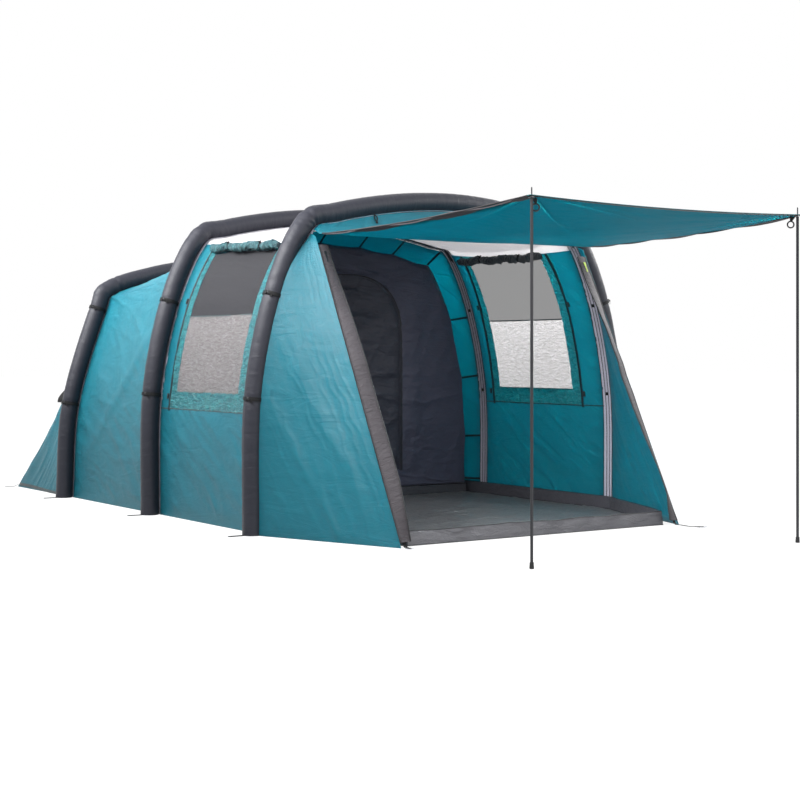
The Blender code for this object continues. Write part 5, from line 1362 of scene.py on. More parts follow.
# %% Header
HEADER_START, HEADER_DEPTH = 3.02, 0.26
HEADER_HALF = float(FRONT.at(HEADER_START, FLY_INSET)[0])
TIE_X = 0.582


def header_shape(t, share):
    line = FRONT.at(t, FLY_INSET)
    top = coords(line[..., 0], -TAPE_HALF - CLOTH, line[..., 1])
    low = coords(line[..., 0] / HEADER_HALF * (LEAD_X - CLOTH), HINGE[1], HINGE[2] + 0.0021)
    return mix(top, low, share)


def header_wrinkle(t, share):
    run = FRONT.along(t)
    free = held(share, 0.0, 1.0, 0.2, 0.0) * held(t, HEADER_START, END - HEADER_START, 0.2, 0.0)
    creased = creases(run, share * HEADER_DEPTH, 70.0, 0.3, 0.09, 481, 2.0) * 0.006
    return free * (creased + hills(run, share, 0.3, 482) * 0.004 - 0.003)


HEADER = Cloth(header_shape, header_wrinkle, arch_map(FRONT, HEADER_DEPTH), ([4.0, 6.0, 8.0], [0.3, 0.7]))
header = HEADER.panel("header_cloth", FRONT.even(HEADER_START, END - HEADER_START, 0.014),
                      np.linspace(0.0, 1.0, 26), TEAL)
settle(header, "tent", "teal polyester", "header_panel", held="stretched", rests_on=["front_sleeve_cloth"])
ties = []
right_half = np.linspace(HEADER_START, CROWN, 400)
right_tie = float(np.interp(-TIE_X, -FRONT.at(right_half, FLY_INSET)[:, 0], right_half))
for place in (END - right_tie, right_tie):
    drop = np.linspace(0.02, 0.34, 10)
    spread = 0.022 * np.sin(math.pi * np.linspace(0.0, 1.0, 10))
    for way in (-1.0, 1.0):
        t = place + way * spread
        ties.append(ribbon("tie", HEADER.at(t, drop, 0.004), HEADER.normal(t, drop), 0.007, 0.002, WEBBING))
    knot = HEADER.at(np.array([place]), np.array([0.36]), 0.006)[0]
    ties.append(block("knot", knot, np.eye(3), (0.013, 0.008, 0.014), WEBBING))
settle(join("header_ties", ties), "tent", "webbing")
print("header", [round(v, 2) for v in header["flat"]])

# %% [markdown]
# The door panel is raised on two poles as an awning. Cloth held by four corners sinks between them:
# the middle hangs lowest, the free edges curve in, and tension lines run out of each corner.

# %% Awning
POLE_X, POLE_Y, CORNER_Z, MARGIN = 0.95, -2.02, 1.83, 0.036
REACH = float(HINGE[1]) - (POLE_Y - MARGIN)
AWNING_ROWS, AWNING_COLUMNS = 146, 140


def awning_shape(share, u):
    """Share runs from the left edge (-1) to the right (1), u from the header (0) to the poles (1)."""
    rear, front = LEAD_X - CLOTH, POLE_X + MARGIN
    half = rear + (front - rear) * u - 0.015 * 4.0 * u * (1.0 - u)
    slack = 4.0 * u * np.clip(1.0 - u, 0.0, 1.0)
    belly = (0.045 * slack + 0.020 * u) * (1.0 - np.clip(np.abs(share), 0.0, 1.0) ** 2)
    z = HINGE[2] + (CORNER_Z - HINGE[2]) * u - belly - 0.018 * slack + 0.5 * CLOTH
    return coords(share * half, HINGE[1] - REACH * u, z)


def awning_wrinkle(x, u):
    y = u * REACH
    free = held(u, 0.0, 1.0, 0.06, 0.0) * held(x, -1.0, 1.0, 0.06, 0.15)
    rays = 0.0
    for side in (-1.0, 1.0):
        for far, reach, height in ((0.0, 0.5, 0.007), (1.0, 0.85, 0.012)):
            off_x, off_y = x - side, y - far * REACH
            gap = np.hypot(off_x, off_y)
            angle = np.arctan2(np.abs(off_y) + 1e-6, np.abs(off_x) + 1e-6)
            lines = (1.0 - np.abs(hills(angle * 3.2, 0.3 * gap, 0.42, 500 + int(2 * far + side)))) ** 4
            rays = rays + lines * np.exp(-gap / reach) * height * smooth(0.04, 0.2, gap)
    soft = hills(x, y, 0.6, 511) * 0.006 + creases(x, y, 8.0, 1.4, 0.16, 512) * 0.0025
    seam = fold(x, y, (-1.0, 0.42), (0.35, 1.02), 0.010, 0.0035)
    return free * (rays + soft + seam - 0.006)


AWNING = Cloth(awning_shape, awning_wrinkle, lambda s, u: coords(s, u * REACH),
               ([-0.5, 0.0, 0.5], [0.3, 0.7]),
               inside=np.array((0.0, POLE_Y, 0.0)))
awning = AWNING.panel("awning_cloth", np.linspace(-1.0, 1.0, AWNING_ROWS),
                      np.linspace(0.0005, 1.0, AWNING_COLUMNS),
                      AWNING_LIT_TEAL)
print("awning", [round(v, 2) for v in awning["flat"]], "free side up", AWNING.sign)

# %% [markdown]
# Its side edges carry the other half of the door's zip between two grey brown tapes, the front edge
# a thin dark hem, and each front corner a black patch with a ring below it for a guy line.

# %% Awning trims
BAND_PLACE, COIL_PLACE, OUTER_PLACE = 0.974, 0.997, 0.976
AWNING_TRIMS = []
u = np.linspace(0.012, 0.985, 120)
for side, label in SIDES:
    wave = 0.35 * np.sin(u * 17.0) * smooth(0.0, 0.15, u) * smooth(1.0, 0.9, u)
    normal = AWNING.normal(side * BAND_PLACE, u)
    up = unit(normal + np.array((1.0, 0.0, 0.0)) * (side * wave)[:, None])
    band = ribbon(f"{label}_awning_zip_band", AWNING.at(side * BAND_PLACE, u, -THIN - 0.0034), up, 0.045,
                  0.0062,
                  BINDING, columns=5)
    coil = tube(f"{label}_awning_zip_coil", AWNING.at(side * COIL_PLACE, u, -0.5 * THIN), 0.0036, ZIP_BLACK,
                7)
    upper = ribbon(f"{label}_awning_outer_band", AWNING.at(side * OUTER_PLACE, u, 0.0002), normal, 0.052,
                   0.0016,
                   BINDING, columns=5)
    AWNING_TRIMS += [band, coil, upper]
share = np.linspace(-0.99, 0.99, 120)
for name, place, gap, width, thick in (("awning_front_hem", 0.993, 0.0012, 0.024, 0.0040),
                                       ("awning_hinge_seam", 0.010, 0.0010, 0.020, 0.0032)):
    AWNING_TRIMS.append(ribbon(name, AWNING.at(share, place, -THIN - gap), AWNING.normal(share, place),
                               width, thick,
                               DARK_HEM))
for piece in AWNING_TRIMS:
    settle(piece, "awning", "binding")
for side, label in SIDES:
    a, b = pairs(np.linspace(0.0, 1.0, 15), np.linspace(0.0, 1.0, 15))
    share = side * (0.998 - 0.095 * a * (1.0 - b * 0.85))
    u = 0.997 - 0.055 * b * (1.0 - a * 0.4)
    patch = shell(f"{label}_awning_corner_patch", AWNING.at(share, u, 0.0016),
                  AWNING.at(share, u, -THIN - 0.0016),
                  coords(a * 0.1, b * 0.1), WEBBING)
    AWNING_TRIMS.append(settle(patch, "awning", "webbing"))
    start = np.array((side * (POLE_X - 0.028), POLE_Y + 0.012, 1.822))
    ring_middle = start + (-side * 0.010, 0.004, -0.046)
    line = mix(start, ring_middle + (0.0, 0.0, 0.020), np.linspace(0.0, 1.0, 8))
    hanging = ribbon(f"{label}_awning_ring_strap", line, (-side * 0.2, -1.0, 0.0),
                     np.linspace(0.034, 0.014, 8),
                     0.003, WEBBING)
    AWNING_TRIMS.append(settle(hanging, "awning", "webbing"))
    turn = np.linspace(0.0, TURN, 31)[:, None]
    circle = ring_middle + 0.018 * (np.cos(turn) * (0.83, -0.56, 0.0) + np.sin(turn) * UPWARD)
    ring = tube(f"{label}_awning_guy_ring", circle, 0.0042, ZIP_BLACK, 8)
    AWNING_TRIMS.append(settle(ring, "awning", "black plastic"))
settle(awning, "awning", "teal polyester", "awning_panel", held="hung",
       rests_on=["left_pole_upper", "right_pole_upper", "header_cloth"], extras=AWNING_TRIMS)
print(len(AWNING_TRIMS), "trims on the awning")

# %% [markdown]
# The groundsheet is a tray of coated cloth: flat on the ground, with an upright edge all round
# that keeps water out. It never lies quite flat, so low wrinkles and packing folds cross it.

# %% Groundsheet
LIP = 0.087
LIP_GAP = 0.008
SIDE = float(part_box("groundsheet")[1][0])
FRONT_CELL = 0.0165


def tail_point(height, near, inset, half_width, rear_y):
    """The point of a tail's surface at a height, from station near."""
    v = 1.0 - height / REAR.at(near, inset)[1]
    return tail(inset, half_width, rear_y)(np.array(float(near)), np.array(float(v)))


OUTLINE = [(0.954, -0.945), (SIDE - LIP_GAP, -0.035), (SIDE, 0.70), (SIDE, 2.14), (SIDE - LIP_GAP, 2.915)]
for near in (0.6, 1.8, CORNER):
    spot = tail_point(LIP, near, FLY_INSET, TAIL_HALF_WIDTH, TAIL_Y)
    OUTLINE.append((float(spot[0]) - LIP_GAP, float(spot[1]) - (LIP_GAP if near == CORNER else 0.0)))
OUTLINE = np.array(OUTLINE)
DOOR_SILL, FLOOR_REAR = OUTLINE[0, 1], OUTLINE[-1, 1]


def floor_half(y):
    """Half the groundsheet's width."""
    return np.interp(y, OUTLINE[:, 1], OUTLINE[:, 0])


def floor_shape(y, share):
    return coords(share * floor_half(y), y, 0.0016)


def floor_wrinkle(y, share):
    x = share * floor_half(y)
    free = held(share, -1.0, 1.0, 0.05, 0.0) * held(y, DOOR_SILL, FLOOR_REAR, 0.05, 0.0)
    front = smooth(1.70, 1.45, y)
    soft = (hills(x, y, 0.28, 541) + 1.0) * 0.0028
    soft += ridges(x, y, 542, (20.0, 0.7, 0.11, 3.0, 0.0075), (105.0, 0.6, 0.09, 3.5, 0.006),
                   (60.0, 0.22, 0.04, 3.0, 0.0024))
    soft += fold(x, y, (-1.1, 0.33), (1.1, 0.36), 0.012, 0.005) + fold(x, y, (0.02, -0.9), (0.03, 1.5),
                                                                       0.012, 0.004)
    return free * soft * (0.25 + 0.75 * front)


FLOOR_CLOTH = Cloth(floor_shape, floor_wrinkle, lambda y, s: coords(s * floor_half(y), y),
                    ([0.0, 1.0, 2.0], [-0.5, 0.0, 0.5]), inside=np.array((0.0, 1.0, -1.0)))
rows = np.concatenate([spaced((DOOR_SILL, -0.035, 1.55), FRONT_CELL), np.linspace(1.58, FLOOR_REAR, 60)])
floor = FLOOR_CLOTH.panel("groundsheet_floor", rows, np.linspace(-1.0, 1.0, 158), FLOOR, thickness=0.0012)
print("groundsheet", [round(v, 2) for v in floor["flat"]])

# %% [markdown]
# The upright edge follows the same outline. Across the doorway it is free, so it waves and leans,
# catches the light and ends in a dark cord; along the walls it is hooked up and stands straighter.

# %% Groundsheet edge
LIP_STEP, LIP_ROWS = 0.016, 11
loop = np.vstack([OUTLINE, OUTLINE[::-1] * (-1.0, 1.0), OUTLINE[:1]])
marks = measured(loop)
run = np.concatenate([np.linspace(a, b, max(2, int((b - a) / LIP_STEP)), endpoint=False)
                      for a, b in zip(marks, marks[1:])])
base = on_line(loop, run)
tangent = unit(np.roll(base, -1, 0) - np.roll(base, 1, 0))
base, tangent = np.vstack([base, base[:1]]), np.vstack([tangent, tangent[:1]])
run = np.append(run, marks[-1])
inward = coords(-tangent[:, 1], tangent[:, 0])
if (inward * (np.array((0.0, MIDDLE.y)) - base)).sum() < 0.0:
    inward = -inward
level = np.linspace(0.0, 1.0, LIP_ROWS)
door = smooth(-0.80, -0.93, base[:, 1])
loose = hills(run, 0.0, 0.11, 551) * (0.3 + 0.7 * door)
lean = 0.0025 + (0.010 * door * (1.0 + loose))[:, None] * level ** 1.5
lean = lean + 0.003 * (1 + hills(run[:, None], level, 0.06, 552)) * level
crest = (LIP - 0.002) * (1.0 - 0.06 * door * (1.0 + hills(run, 0.0, 0.17, 553)))[:, None]
foot = base[:, None] + inward[:, None] * lean[..., None]
edge = coords(foot[..., 0], foot[..., 1], level * crest + 0.0012)
thick = coords(inward[:, None, 0], inward[:, None, 1], 0.0) * 0.0014
lip = shell("groundsheet_edge", edge, edge + thick, coords(run[:, None], level * LIP), FLOOR_EDGE)
piping = tube("groundsheet_top_cord", edge[:, -1] + (0.0, 0.0, 0.0008), 0.0022, ZIP_BLACK, 6)
foot_cord = tube("groundsheet_foot_cord", edge[:, 0] + (0.0, 0.0, 0.0016), 0.0026, ZIP_BLACK, 6)
for piece, slot in ((lip, "floor fabric"), (piping, "binding"), (foot_cord, "binding")):
    settle(piece, "tent", slot)
settle(floor, "tent", "floor fabric", "groundsheet", held="laid", rests_on=[],
       extras=[lip, piping, foot_cord])
print("edge loop", round(float(marks[-1]), 2), "m round")

# %% [markdown]
# The bedroom hangs inside the fly from elastic straps. Its walls and roof follow the fly a hand's
# width away, and its rear follows the tail. Between two straps the front edge is drawn in.

# %% Bedroom walls and roof
BEDROOM_Y, BEDROOM_INSET = 1.56, FLY_INSET + 0.055
BEDROOM_BASE = 0.0033
BEDROOM_START = BEDROOM_BASE + 0.0703
BEDROOM_REAR_HALF, BEDROOM_REAR_Y = 1.295, 3.86
STRAP_XS, STRAP_ZS = (0.342, 0.64, 0.95), (1.315, 0.885, 0.438)
half = np.linspace(0.0, CROWN, 2400)
half_line = MIDDLE.at(half, BEDROOM_INSET)
STRAP_T = [float(np.interp(-x, -half_line[:, 0], half)) for x in STRAP_XS]
STRAP_T += [float(np.interp(z, half_line[:, 1], half)) for z in STRAP_ZS]
STRAP_T = np.array(sorted(STRAP_T + [END - t for t in STRAP_T] + [CROWN]))


def scallop(t):
    """How far the edge is drawn in between two elastic straps."""
    marks = np.concatenate([[0.0], STRAP_T, [END]])
    share = np.interp(t, marks, np.arange(len(marks)))
    return 0.013 * np.sin(math.pi * (share % 1.0)) ** 0.8


def bedroom_shape(t, y):
    drawn = BEDROOM_INSET + scallop(t) * np.exp(-(y - BEDROOM_Y) / 0.15)
    point = between(MIDDLE, REAR, drawn)(t, np.minimum(y, REAR.y))
    point[..., 1] = y
    return point


def bedroom_wrinkle(t, y):
    soft = ridges(y, MIDDLE.up(t), 561, (80.0, 0.9, 0.12, 2.0, 0.010), (30.0, 0.3, 0.06, 3.0, 0.004))
    return held(y, BEDROOM_Y, REAR.y + TAPE_HALF, 0.08, 0.1) * (soft - 0.008)


def bedroom_rows(arch, step):
    """Stations over an arch from just above the tray to just above it again."""
    start = arch.station(BEDROOM_START, BEDROOM_INSET)
    return arch.even(start, END - start, step)


CANOPY = Cloth(bedroom_shape, bedroom_wrinkle, bay_map(MIDDLE), ([2.0, 6.0, 10.0], [1.7, 2.4]))
canopy = CANOPY.panel("bedroom_canopy_cloth", bedroom_rows(MIDDLE, 0.03),
                      spaced((BEDROOM_Y + 0.003, REAR.y + TAPE_HALF), 0.03), INNER, ground=BEDROOM_START)
settle(canopy, "tent", "inner fabric", "bedroom_canopy", held="hung", rests_on=REAR_BEAMS)
strap_t = np.concatenate([[0.14], STRAP_T, [END - 0.14]])
near_ends = CANOPY.at(strap_t, BEDROOM_Y + 0.006)
hooks, away = MIDDLE.at(strap_t, FLY_INSET + 0.008), MIDDLE.out(strap_t)
far_ends = coords(hooks[:, 0], MIDDLE.y + 0.040, hooks[:, 1])
elastics = [ribbon("elastic", mix(near, far, np.linspace(0.0, 1.0, 8)), (-out[0], -0.6, -out[1]), 0.015,
                   0.0024,
                   WEBBING) for near, far, out in zip(near_ends, far_ends, away)]
settle(join("bedroom_elastic_straps", elastics), "tent", "webbing")
rear_cloth = Cloth(tail(BEDROOM_INSET, BEDROOM_REAR_HALF, BEDROOM_REAR_Y, BEDROOM_START), lambda t,
                   v: 0.0 * t,
                   arch_map(REAR, 1.4), ([1.0, 4.0, 9.0], [0.2, 0.6]))
bedroom_rear = rear_cloth.panel("bedroom_rear_cloth", bedroom_rows(REAR, 0.04), np.linspace(0.0, 1.0, 34),
                                INNER,
                                ground=BEDROOM_START)
settle(bedroom_rear, "tent", "inner fabric", "bedroom_rear", held="hung", rests_on=["rear_sleeve_cloth"])
print("bedroom starts", round(BEDROOM_START, 4), "m up")

# %% [markdown]
# The bedroom has a tray of its own that lies on the groundsheet.

# %% Bedroom floor
TRAY_STEPS, TRAY_ROWS = 300, 6
low, high = box("bedroom_floor")
TRAY_LINE = [(high[0], low[1]), (high[0], REAR.y + TAPE_HALF)]
for near in (1.8, CORNER):
    spot = tail_point(BEDROOM_START, near, BEDROOM_INSET, BEDROOM_REAR_HALF, BEDROOM_REAR_Y)
    TRAY_LINE.append((float(spot[0]) - 0.004, min(float(spot[1]), high[1])))
TRAY_LINE = np.array(TRAY_LINE)


def tray_shape(y, share):
    return coords(share * np.interp(y, TRAY_LINE[:, 1], TRAY_LINE[:, 0]), y, 0.0085)


TRAY = Cloth(tray_shape, lambda y, s: 0.0015 * (1.0 + hills(y, s, 0.2, 571)) * held(s, -1.0, 1.0, 0.05, 0.0),
             lambda y, s: coords(s * 1.3, y), ([1.8, 2.4], [-0.4, 0.4]), inside=np.array((0.0, 2.0, -1.0)))
tray = TRAY.panel("bedroom_floor_cloth", np.linspace(TRAY_LINE[0, 1], TRAY_LINE[-1, 1], 70),
                  np.linspace(-1.0, 1.0, 64), FLOOR)
loop = np.vstack([TRAY_LINE, TRAY_LINE[::-1] * (-1.0, 1.0), TRAY_LINE[:1]])
along = np.linspace(0.0, measured(loop)[-1], TRAY_STEPS)
line = on_line(loop, along)
toward = unit(np.array((0.0, 2.6)) - line)
level = np.linspace(0.0, 1.0, TRAY_ROWS)
wall = coords(line[:, None, 0], line[:, None, 1], 0.0075 + level * 0.062)
wall_in = wall + coords(toward[:, None, 0], toward[:, None, 1], 0.0) * 0.0016
tray_edge = shell("bedroom_floor_edge", wall, wall_in, coords(along[:, None], level * 0.07), FLOOR_EDGE)
settle(tray_edge, "tent", "floor fabric")
settle(tray, "tent", "floor fabric", "bedroom_floor", held="laid", rests_on=["groundsheet_floor"],
       extras=[tray_edge])
print("bedroom floor", tray["flat"])

# %% [markdown]
# The bedroom's front is a flat wall with an arched door. Hung cloth like this shows level wrinkles
# where it is drawn towards its straps and a crumple low beside the door, where the zip ends.

# %% Bedroom front
DOOR_X, DOOR_HALF, DOOR_LOW, DOOR_STRAIGHT, DOOR_TOP = 0.185, 0.50, 0.20, 1.15, 1.623
DOOR_CURVE = 0.75
ARC, SILL, FRONT_RINGS = 340, 70, 46


def front_depth(x, z):
    """How far the bedroom's front bulges towards the door side."""
    soft = ridges(x, z, 581, (4.0, 0.7, 0.11, 3.0, 0.014), (-8.0, 0.35, 0.045, 4.0, 0.009),
                  (66.0, 0.5, 0.09, 3.0, 0.005),
                  (30.0, 0.16, 0.035, 2.0, 0.016 * np.exp(-np.hypot(x - 0.66, z - 0.42) / 0.16)))
    near_zip = np.exp(-np.hypot(x - 0.60, z - 1.42) / 0.10)
    crumple = near_zip * creases(x, z, -40.0, 0.12, 0.03, 586, 2.0) * 0.014
    ridge = 0.016 * dip(x - 0.80, 0.07) * smooth(0.35, 0.6, z) * smooth(1.65, 1.3, z)
    return soft + crumple + ridge + hills(x, z, 0.5, 585) * 0.010


def door_line(grow, count):
    """The door's outline from the right foot over the top to the left foot."""
    half, rise, low = DOOR_HALF + grow, DOOR_TOP - DOOR_STRAIGHT + grow, DOOR_LOW - grow
    a = np.linspace(0.0, math.pi, 400)
    x = DOOR_X + half * np.sign(np.cos(a)) * np.abs(np.cos(a)) ** DOOR_CURVE
    z = DOOR_STRAIGHT + rise * np.abs(np.sin(a)) ** DOOR_CURVE
    return evenly(np.vstack([(DOOR_X + half, low), coords(x, z), (DOOR_X - half, low)]), count)


def with_sill(line):
    """Close a line from its left end back to its right end along the ground."""
    return np.vstack([line, np.linspace(line[-1], line[0], SILL)[1:]])


over = bedroom_shape(bedroom_rows(MIDDLE, 0.01), BEDROOM_Y)[:, [0, 2]]
over = evenly(over, ARC)
over[[0, -1], 1] = BEDROOM_START
share = np.linspace(0.0, 1.0, FRONT_RINGS)
flat = mix(with_sill(over)[:, None], with_sill(door_line(0.0, ARC))[:, None], share)
edge = (share * 12.0).clip(0.0, 1.0) * ((1.0 - share) * 16.0).clip(0.0, 1.0)
outer = coords(flat[..., 0], BEDROOM_Y - front_depth(flat[..., 0], flat[..., 1]) * edge, flat[..., 1])
front = shell("bedroom_front_cloth", outer, outer + (0.0, 0.0016, 0.0), flat, INNER)
across, down = flat[1:, 1:] - flat[:-1, :-1], flat[1:, :-1] - flat[:-1, 1:]
area = 0.5 * float(np.abs(across[..., 0] * down[..., 1] - across[..., 1] * down[..., 0]).sum())
front["flat"] = [float(np.ptp(over[:, 0])), float(np.ptp(over[:, 1])), area]
print("bedroom front area", round(area, 2), "square metres")

# %% [markdown]
# The door leaf is a darker cloth inside the arch. Its black zip follows the curve on a tape with a
# weather flap; the leaf rides on its own body, the zip's tape stays with the wall.

# %% Bedroom door
z = np.concatenate([np.linspace(DOOR_LOW + 0.001, DOOR_STRAIGHT, 70), DOOR_STRAIGHT
                    + (DOOR_TOP - 0.002 - DOOR_STRAIGHT) * np.sin(np.linspace(0.0, 0.5 * math.pi, 56))[1:]])
lift = np.clip((z - DOOR_STRAIGHT) / (DOOR_TOP - DOOR_STRAIGHT), 0.0, 1.0) ** (1.0 / DOOR_CURVE)
half_width = (DOOR_HALF - 0.0015) * np.sqrt(np.clip(1.0 - lift ** 2, 0.0, 1.0)) ** DOOR_CURVE
half_width = np.maximum(half_width, 0.01)
z, s = pairs(z, np.linspace(-1.0, 1.0, 76))
x = DOOR_X + half_width[:, None] * s
leaf_edge = np.clip((1.0 - np.abs(s)) * 10.0, 0.0, 1.0) * np.clip((z - DOOR_LOW) * 12.0, 0.0, 1.0)
leaf = coords(x, BEDROOM_Y + 0.0005 - front_depth(x + 3.0, z) * 1.1 * leaf_edge, z)
door = shell("bedroom_door_cloth", leaf, leaf + (0.0, 0.0014, 0.0), coords(x, z), DOOR_DARK)
door["flat"] = [2.0 * float(half_width.max()), float(np.ptp(z)), 2.0 * float(np.trapz(half_width, z[:, 0]))]
line = door_line(0.006, 260)
line = coords(line[:, 0], BEDROOM_Y - 0.0045, line[:, 1])
zip_tape = ribbon("bedroom_door_zip_tape", line, (0.0, -1.0, 0.0), 0.030, 0.0022, DOOR_DARK)
coil = tube("bedroom_door_zip_coil", line - (0.0, 0.0034, 0.0), 0.0034, ZIP_BLACK, 7)
for piece in (zip_tape, coil):
    settle(piece, "tent", "zip tape")
settle(door, "inner_door", "inner fabric", "bedroom_door", held="hung", rests_on=["bedroom_front_cloth"])
settle(front, "tent", "inner fabric", "bedroom_front", held="hung", rests_on=["bedroom_canopy_cloth"],
       extras=[zip_tape, coil])
print("door leaf of", len(door.data.polygons), "faces")

# %% [markdown]
# Under each beam a woven tape closes the sleeve with two zips, one on each side, so that the
# bladder can be taken out. It has a fine slanting rib, a dark cord along each edge and the two
# black coils.

# %% Beam zip tapes
RIB = 0.007
TAPE = bpy.data.materials.new("ribbed lilac grey zip tape")
TAPE.use_nodes = True
tree = TAPE.node_tree
shader = tree.nodes["Principled BSDF"]
shader.inputs["Roughness"].default_value = 0.7
shader.inputs["Sheen Weight"].default_value = 0.25
place = add(tree, "ShaderNodeTexCoord").outputs["UV"]
turned = add(tree, "ShaderNodeMapping", {"Vector": place, "Rotation": (0.0, 0.0, 0.6)})
ribs = add(tree, "ShaderNodeTexWave", {"Vector": turned.outputs[0], "Scale": WAVE_SPAN / RIB,
                                       "Distortion": 1.2,
                                       "Detail Scale": 3.0}, wave_type="BANDS", bands_direction="X")
grain = add(tree, "ShaderNodeTexNoise", {"Vector": place, "Scale": 160.0, "Detail": 3.0},
            noise_dimensions="2D")
blend = add(tree, "ShaderNodeMath", {0: ribs.outputs["Fac"], 1: grain.outputs["Fac"]}, operation="MULTIPLY")
tint = add(tree, "ShaderNodeMix", {"Factor": blend.outputs[0], "A": paint("#B3B1C4"), "B": paint("#F6F4FF")},
           data_type="RGBA")
bump = add(tree, "ShaderNodeBump", {"Height": ribs.outputs["Fac"], "Distance": 0.001, "Strength": 0.8})
tree.links.new(tint.outputs["Result"], shader.inputs["Base Color"])
tree.links.new(bump.outputs[0], shader.inputs["Normal"])


def tape_cloth(arch, seed):
    """The tape under a beam, from station t and distance y off its middle."""
    def shape(t, y):
        line = arch.at(t, FLY_INSET + 0.0004 + 0.0022 * smooth(0.028, 0.038, np.abs(y)))
        return coords(line[..., 0], arch.y + y, line[..., 1])

    def ruffle(t, y):
        return -0.0016 * creases(y, arch.along(t), 30.0, 0.06, 0.03, seed, 2.0)

    return Cloth(shape, ruffle, lambda t, y: coords(y, arch.along(t)), ([2.0, 6.0, 10.0], [-0.02, 0.02]),
                 inside=np.array((0.0, arch.y, 0.3)))


for seed, arch in zip((601, 611, 621), BEAMS):
    cloth = tape_cloth(arch, seed)
    band = cloth.panel(f"{arch.name}_sleeve_tape", arch.even(0.0, END, 0.016),
                       np.linspace(-0.043, 0.043, 13), TAPE,
                       0.0016)
    settle(band, "tent", "zip tape", f"{arch.name}_zip_tape")
    t = arch.even(0.03, END - 0.03, 0.02)
    cords = []
    for y, radius in ((-0.0415, 0.0026), (-0.0145, 0.0018), (0.0145, 0.0018), (0.0415, 0.0026)):
        line = cloth.at(t, y, -0.0030)
        cords.append(tube("cord", line, radius, ZIP_BLACK, 6))
        if abs(y) < 0.03:
            cords.append(rods("teeth", line, 0.010, 0.005, radius + 0.0009, ZIP_BLACK))
    settle(join(f"{arch.name}_sleeve_zips", cords), "tent", "black plastic")
print("three tapes with two zips each")

# %% [markdown]
# Two webbing straps go round each leg, with a ladder buckle on the outer side and a loose tail.

# %% Leg straps
def leg_strap(arch, t):
    """One strap round a beam, its buckle and its tail."""
    around = np.linspace(0.0, TURN, 49)
    radius = SLEEVE_RADIUS + 0.0002
    rings = sleeve_rings(arch, t, around, radius)
    middle, out = sleeve_middle(arch, t), arch.out(t)
    centre = np.array((middle[0], arch.y, middle[1]))
    strap = ribbon("strap", rings, rings - centre, STRAP_WIDTH, 0.0036, WEBBING)
    along = np.array((-out[1], 0.0, out[0]))
    facing = unit(np.array((out[0], -0.5, out[1])))
    spot = centre + facing * (radius + 0.0046)
    cross = unit(np.cross(along, facing))
    buckle = block("buckle", spot, (cross, along, facing), (0.014, 0.021, 0.0045), PLASTIC)
    hang = np.linspace(0.0, 1.0, 12)[:, None]
    line = spot + facing * 0.003 - cross * (0.008 + 0.022 * hang) - UPWARD * 0.020 * hang ** 2
    loose = ribbon("tail", line + facing * 0.003 * np.sin(5.0 * hang), facing, 0.014, 0.0018, WEBBING)
    return strap, buckle, loose


webbing, buckles = [], []
for arch in BEAMS:
    for t in strap_stations(arch):
        strap, buckle, loose = leg_strap(arch, t)
        webbing += [strap, loose]
        buckles.append(buckle)
settle(join("leg_straps", webbing), "tent", "webbing")
settle(join("leg_strap_buckles", buckles), "tent", "black plastic")
print(len(buckles), "leg straps")

# %% [markdown]
# Each foot ends in a webbing loop for a peg, a flat ring with round corners sewn under the sleeve.

# %% Peg loops
LOOP_HALF, LOOP_LENGTH, LOOP_ROOT, LOOP_BAND = 0.018, 0.085, 0.02, 0.012
LOOP_X = HALF_WIDTH + 0.0647


def loop_outline(x, y, side, grow):
    """The loop's outer line, or with grow the line of its slot, back to its start."""
    half = LOOP_HALF - grow
    root, tip = x + side * (grow if grow > 0.0 else -LOOP_ROOT), x + side * (LOOP_LENGTH - grow)
    corner = half * 0.6
    turn = np.linspace(-0.5 * math.pi, 0.5 * math.pi, 17)
    arc = coords(tip - side * corner + side * corner * np.cos(turn),
                 y + np.sign(turn) * (half - corner) + corner * np.sin(turn))
    lows = np.array([(root, y - half), (0.5 * (root + tip), y - half)])
    return np.vstack([lows, arc, lows[::-1] * (1.0, -1.0) + (0.0, 2.0 * y), lows[:1]])


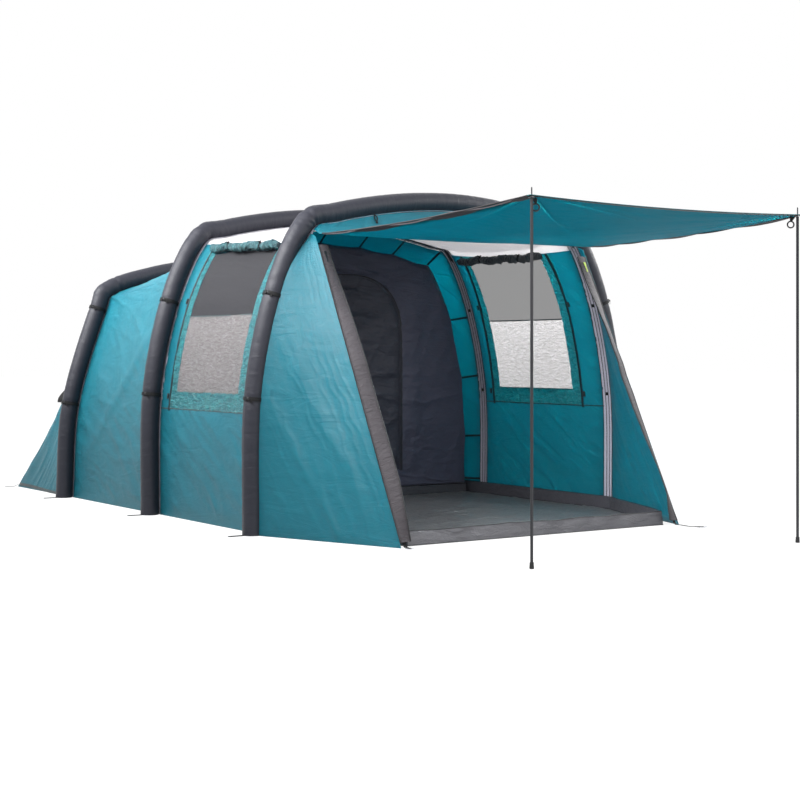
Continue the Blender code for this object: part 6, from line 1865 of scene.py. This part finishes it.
loops = []
for arch in BEAMS:
    for side in (-1.0, 1.0):
        outer, slot = (loop_outline(side * LOOP_X, arch.y, side, grow) for grow in (0.0, LOOP_BAND))
        share = np.linspace(0.0, 1.0, 5)
        flat = mix(outer[:, None], slot[:, None], share)
        x, y = flat[..., 0], flat[..., 1]
        top = coords(x, y, 0.0022 + 0.0012 * np.sin(math.pi * share))
        loops.append(shell("loop", top, coords(x, y, 0.0004), flat, WEBBING))
settle(join("peg_loops", loops), "tent", "webbing")
print(len(loops), "peg loops")

# %% [markdown]
# At the door's corners a strap comes down off each binding, lies out on the ground and folds back
# round the bar of its ring.

# %% Corner straps
heading = math.radians(15.0)
for side, label, length in ((-1.0, "left", 0.075), (1.0, "right", 0.20)):
    foot = lead(side, LEAD_LENGTH - 0.035, LEAD_X - 0.03)
    out = np.array((side * math.sin(heading), -math.cos(heading), 0.0))
    start = np.array((foot[0], foot[1], 0.0))
    climb = start + out * 0.012 - LEAD_DIRECTION * np.linspace(0.085, 0.012, 8)[:, None] + UPWARD * 0.006
    runs = [np.linspace(0.02, length - 0.004, 14), np.linspace(length - 0.006, 0.66 * length, 6)]
    bend = np.linspace(1.2, -1.4, 8)
    flat = np.vstack([coords(runs[0], 0.004 + 0.002 * np.sin(runs[0] * 40.0)),
                      coords(length + 0.0044 * np.cos(bend), 0.0052 + 0.0036 * np.sin(bend)),
                      coords(runs[1], 0.0012)])
    line = np.vstack([climb, start + out * flat[:, :1] + UPWARD * flat[:, 1:]])
    across = np.array((-out[1], out[0], 0.0))
    up = np.cross(across, unit(np.gradient(line, axis=0)))
    strap = ribbon(f"{label}_corner_strap_webbing", line, up, STRAP_WIDTH, 0.0016, WEBBING)
    settle(strap, "tent", "webbing", f"{label}_corner_strap")
print("corner straps on both sides")

# %% [markdown]
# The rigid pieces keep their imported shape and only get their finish: coated steel poles, rubber
# feet, zinc-plated eyelets and rings, nylon valves and caps, and the zip sliders.

# %% Rigid pieces
RIGID = (("_pole_foot", RUBBER), ("_pole_", PAINTED), ("_eyelet", STEEL), ("_corner_ring", STEEL),
         ("_valve_", PLASTIC), ("right_zip_slider", LIME), ("_zip_slider", PLASTIC))
for name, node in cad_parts.items():
    finish = next((finish for part, finish in RIGID if part in name), None)
    if finish:
        for slot in node.material_slots:
            slot.material = finish
print("rigid pieces finished")

# %% [markdown]
# The flat sizes of the sheets are printed.

# %% Sheet sizes
print("sheets", SHEETS)
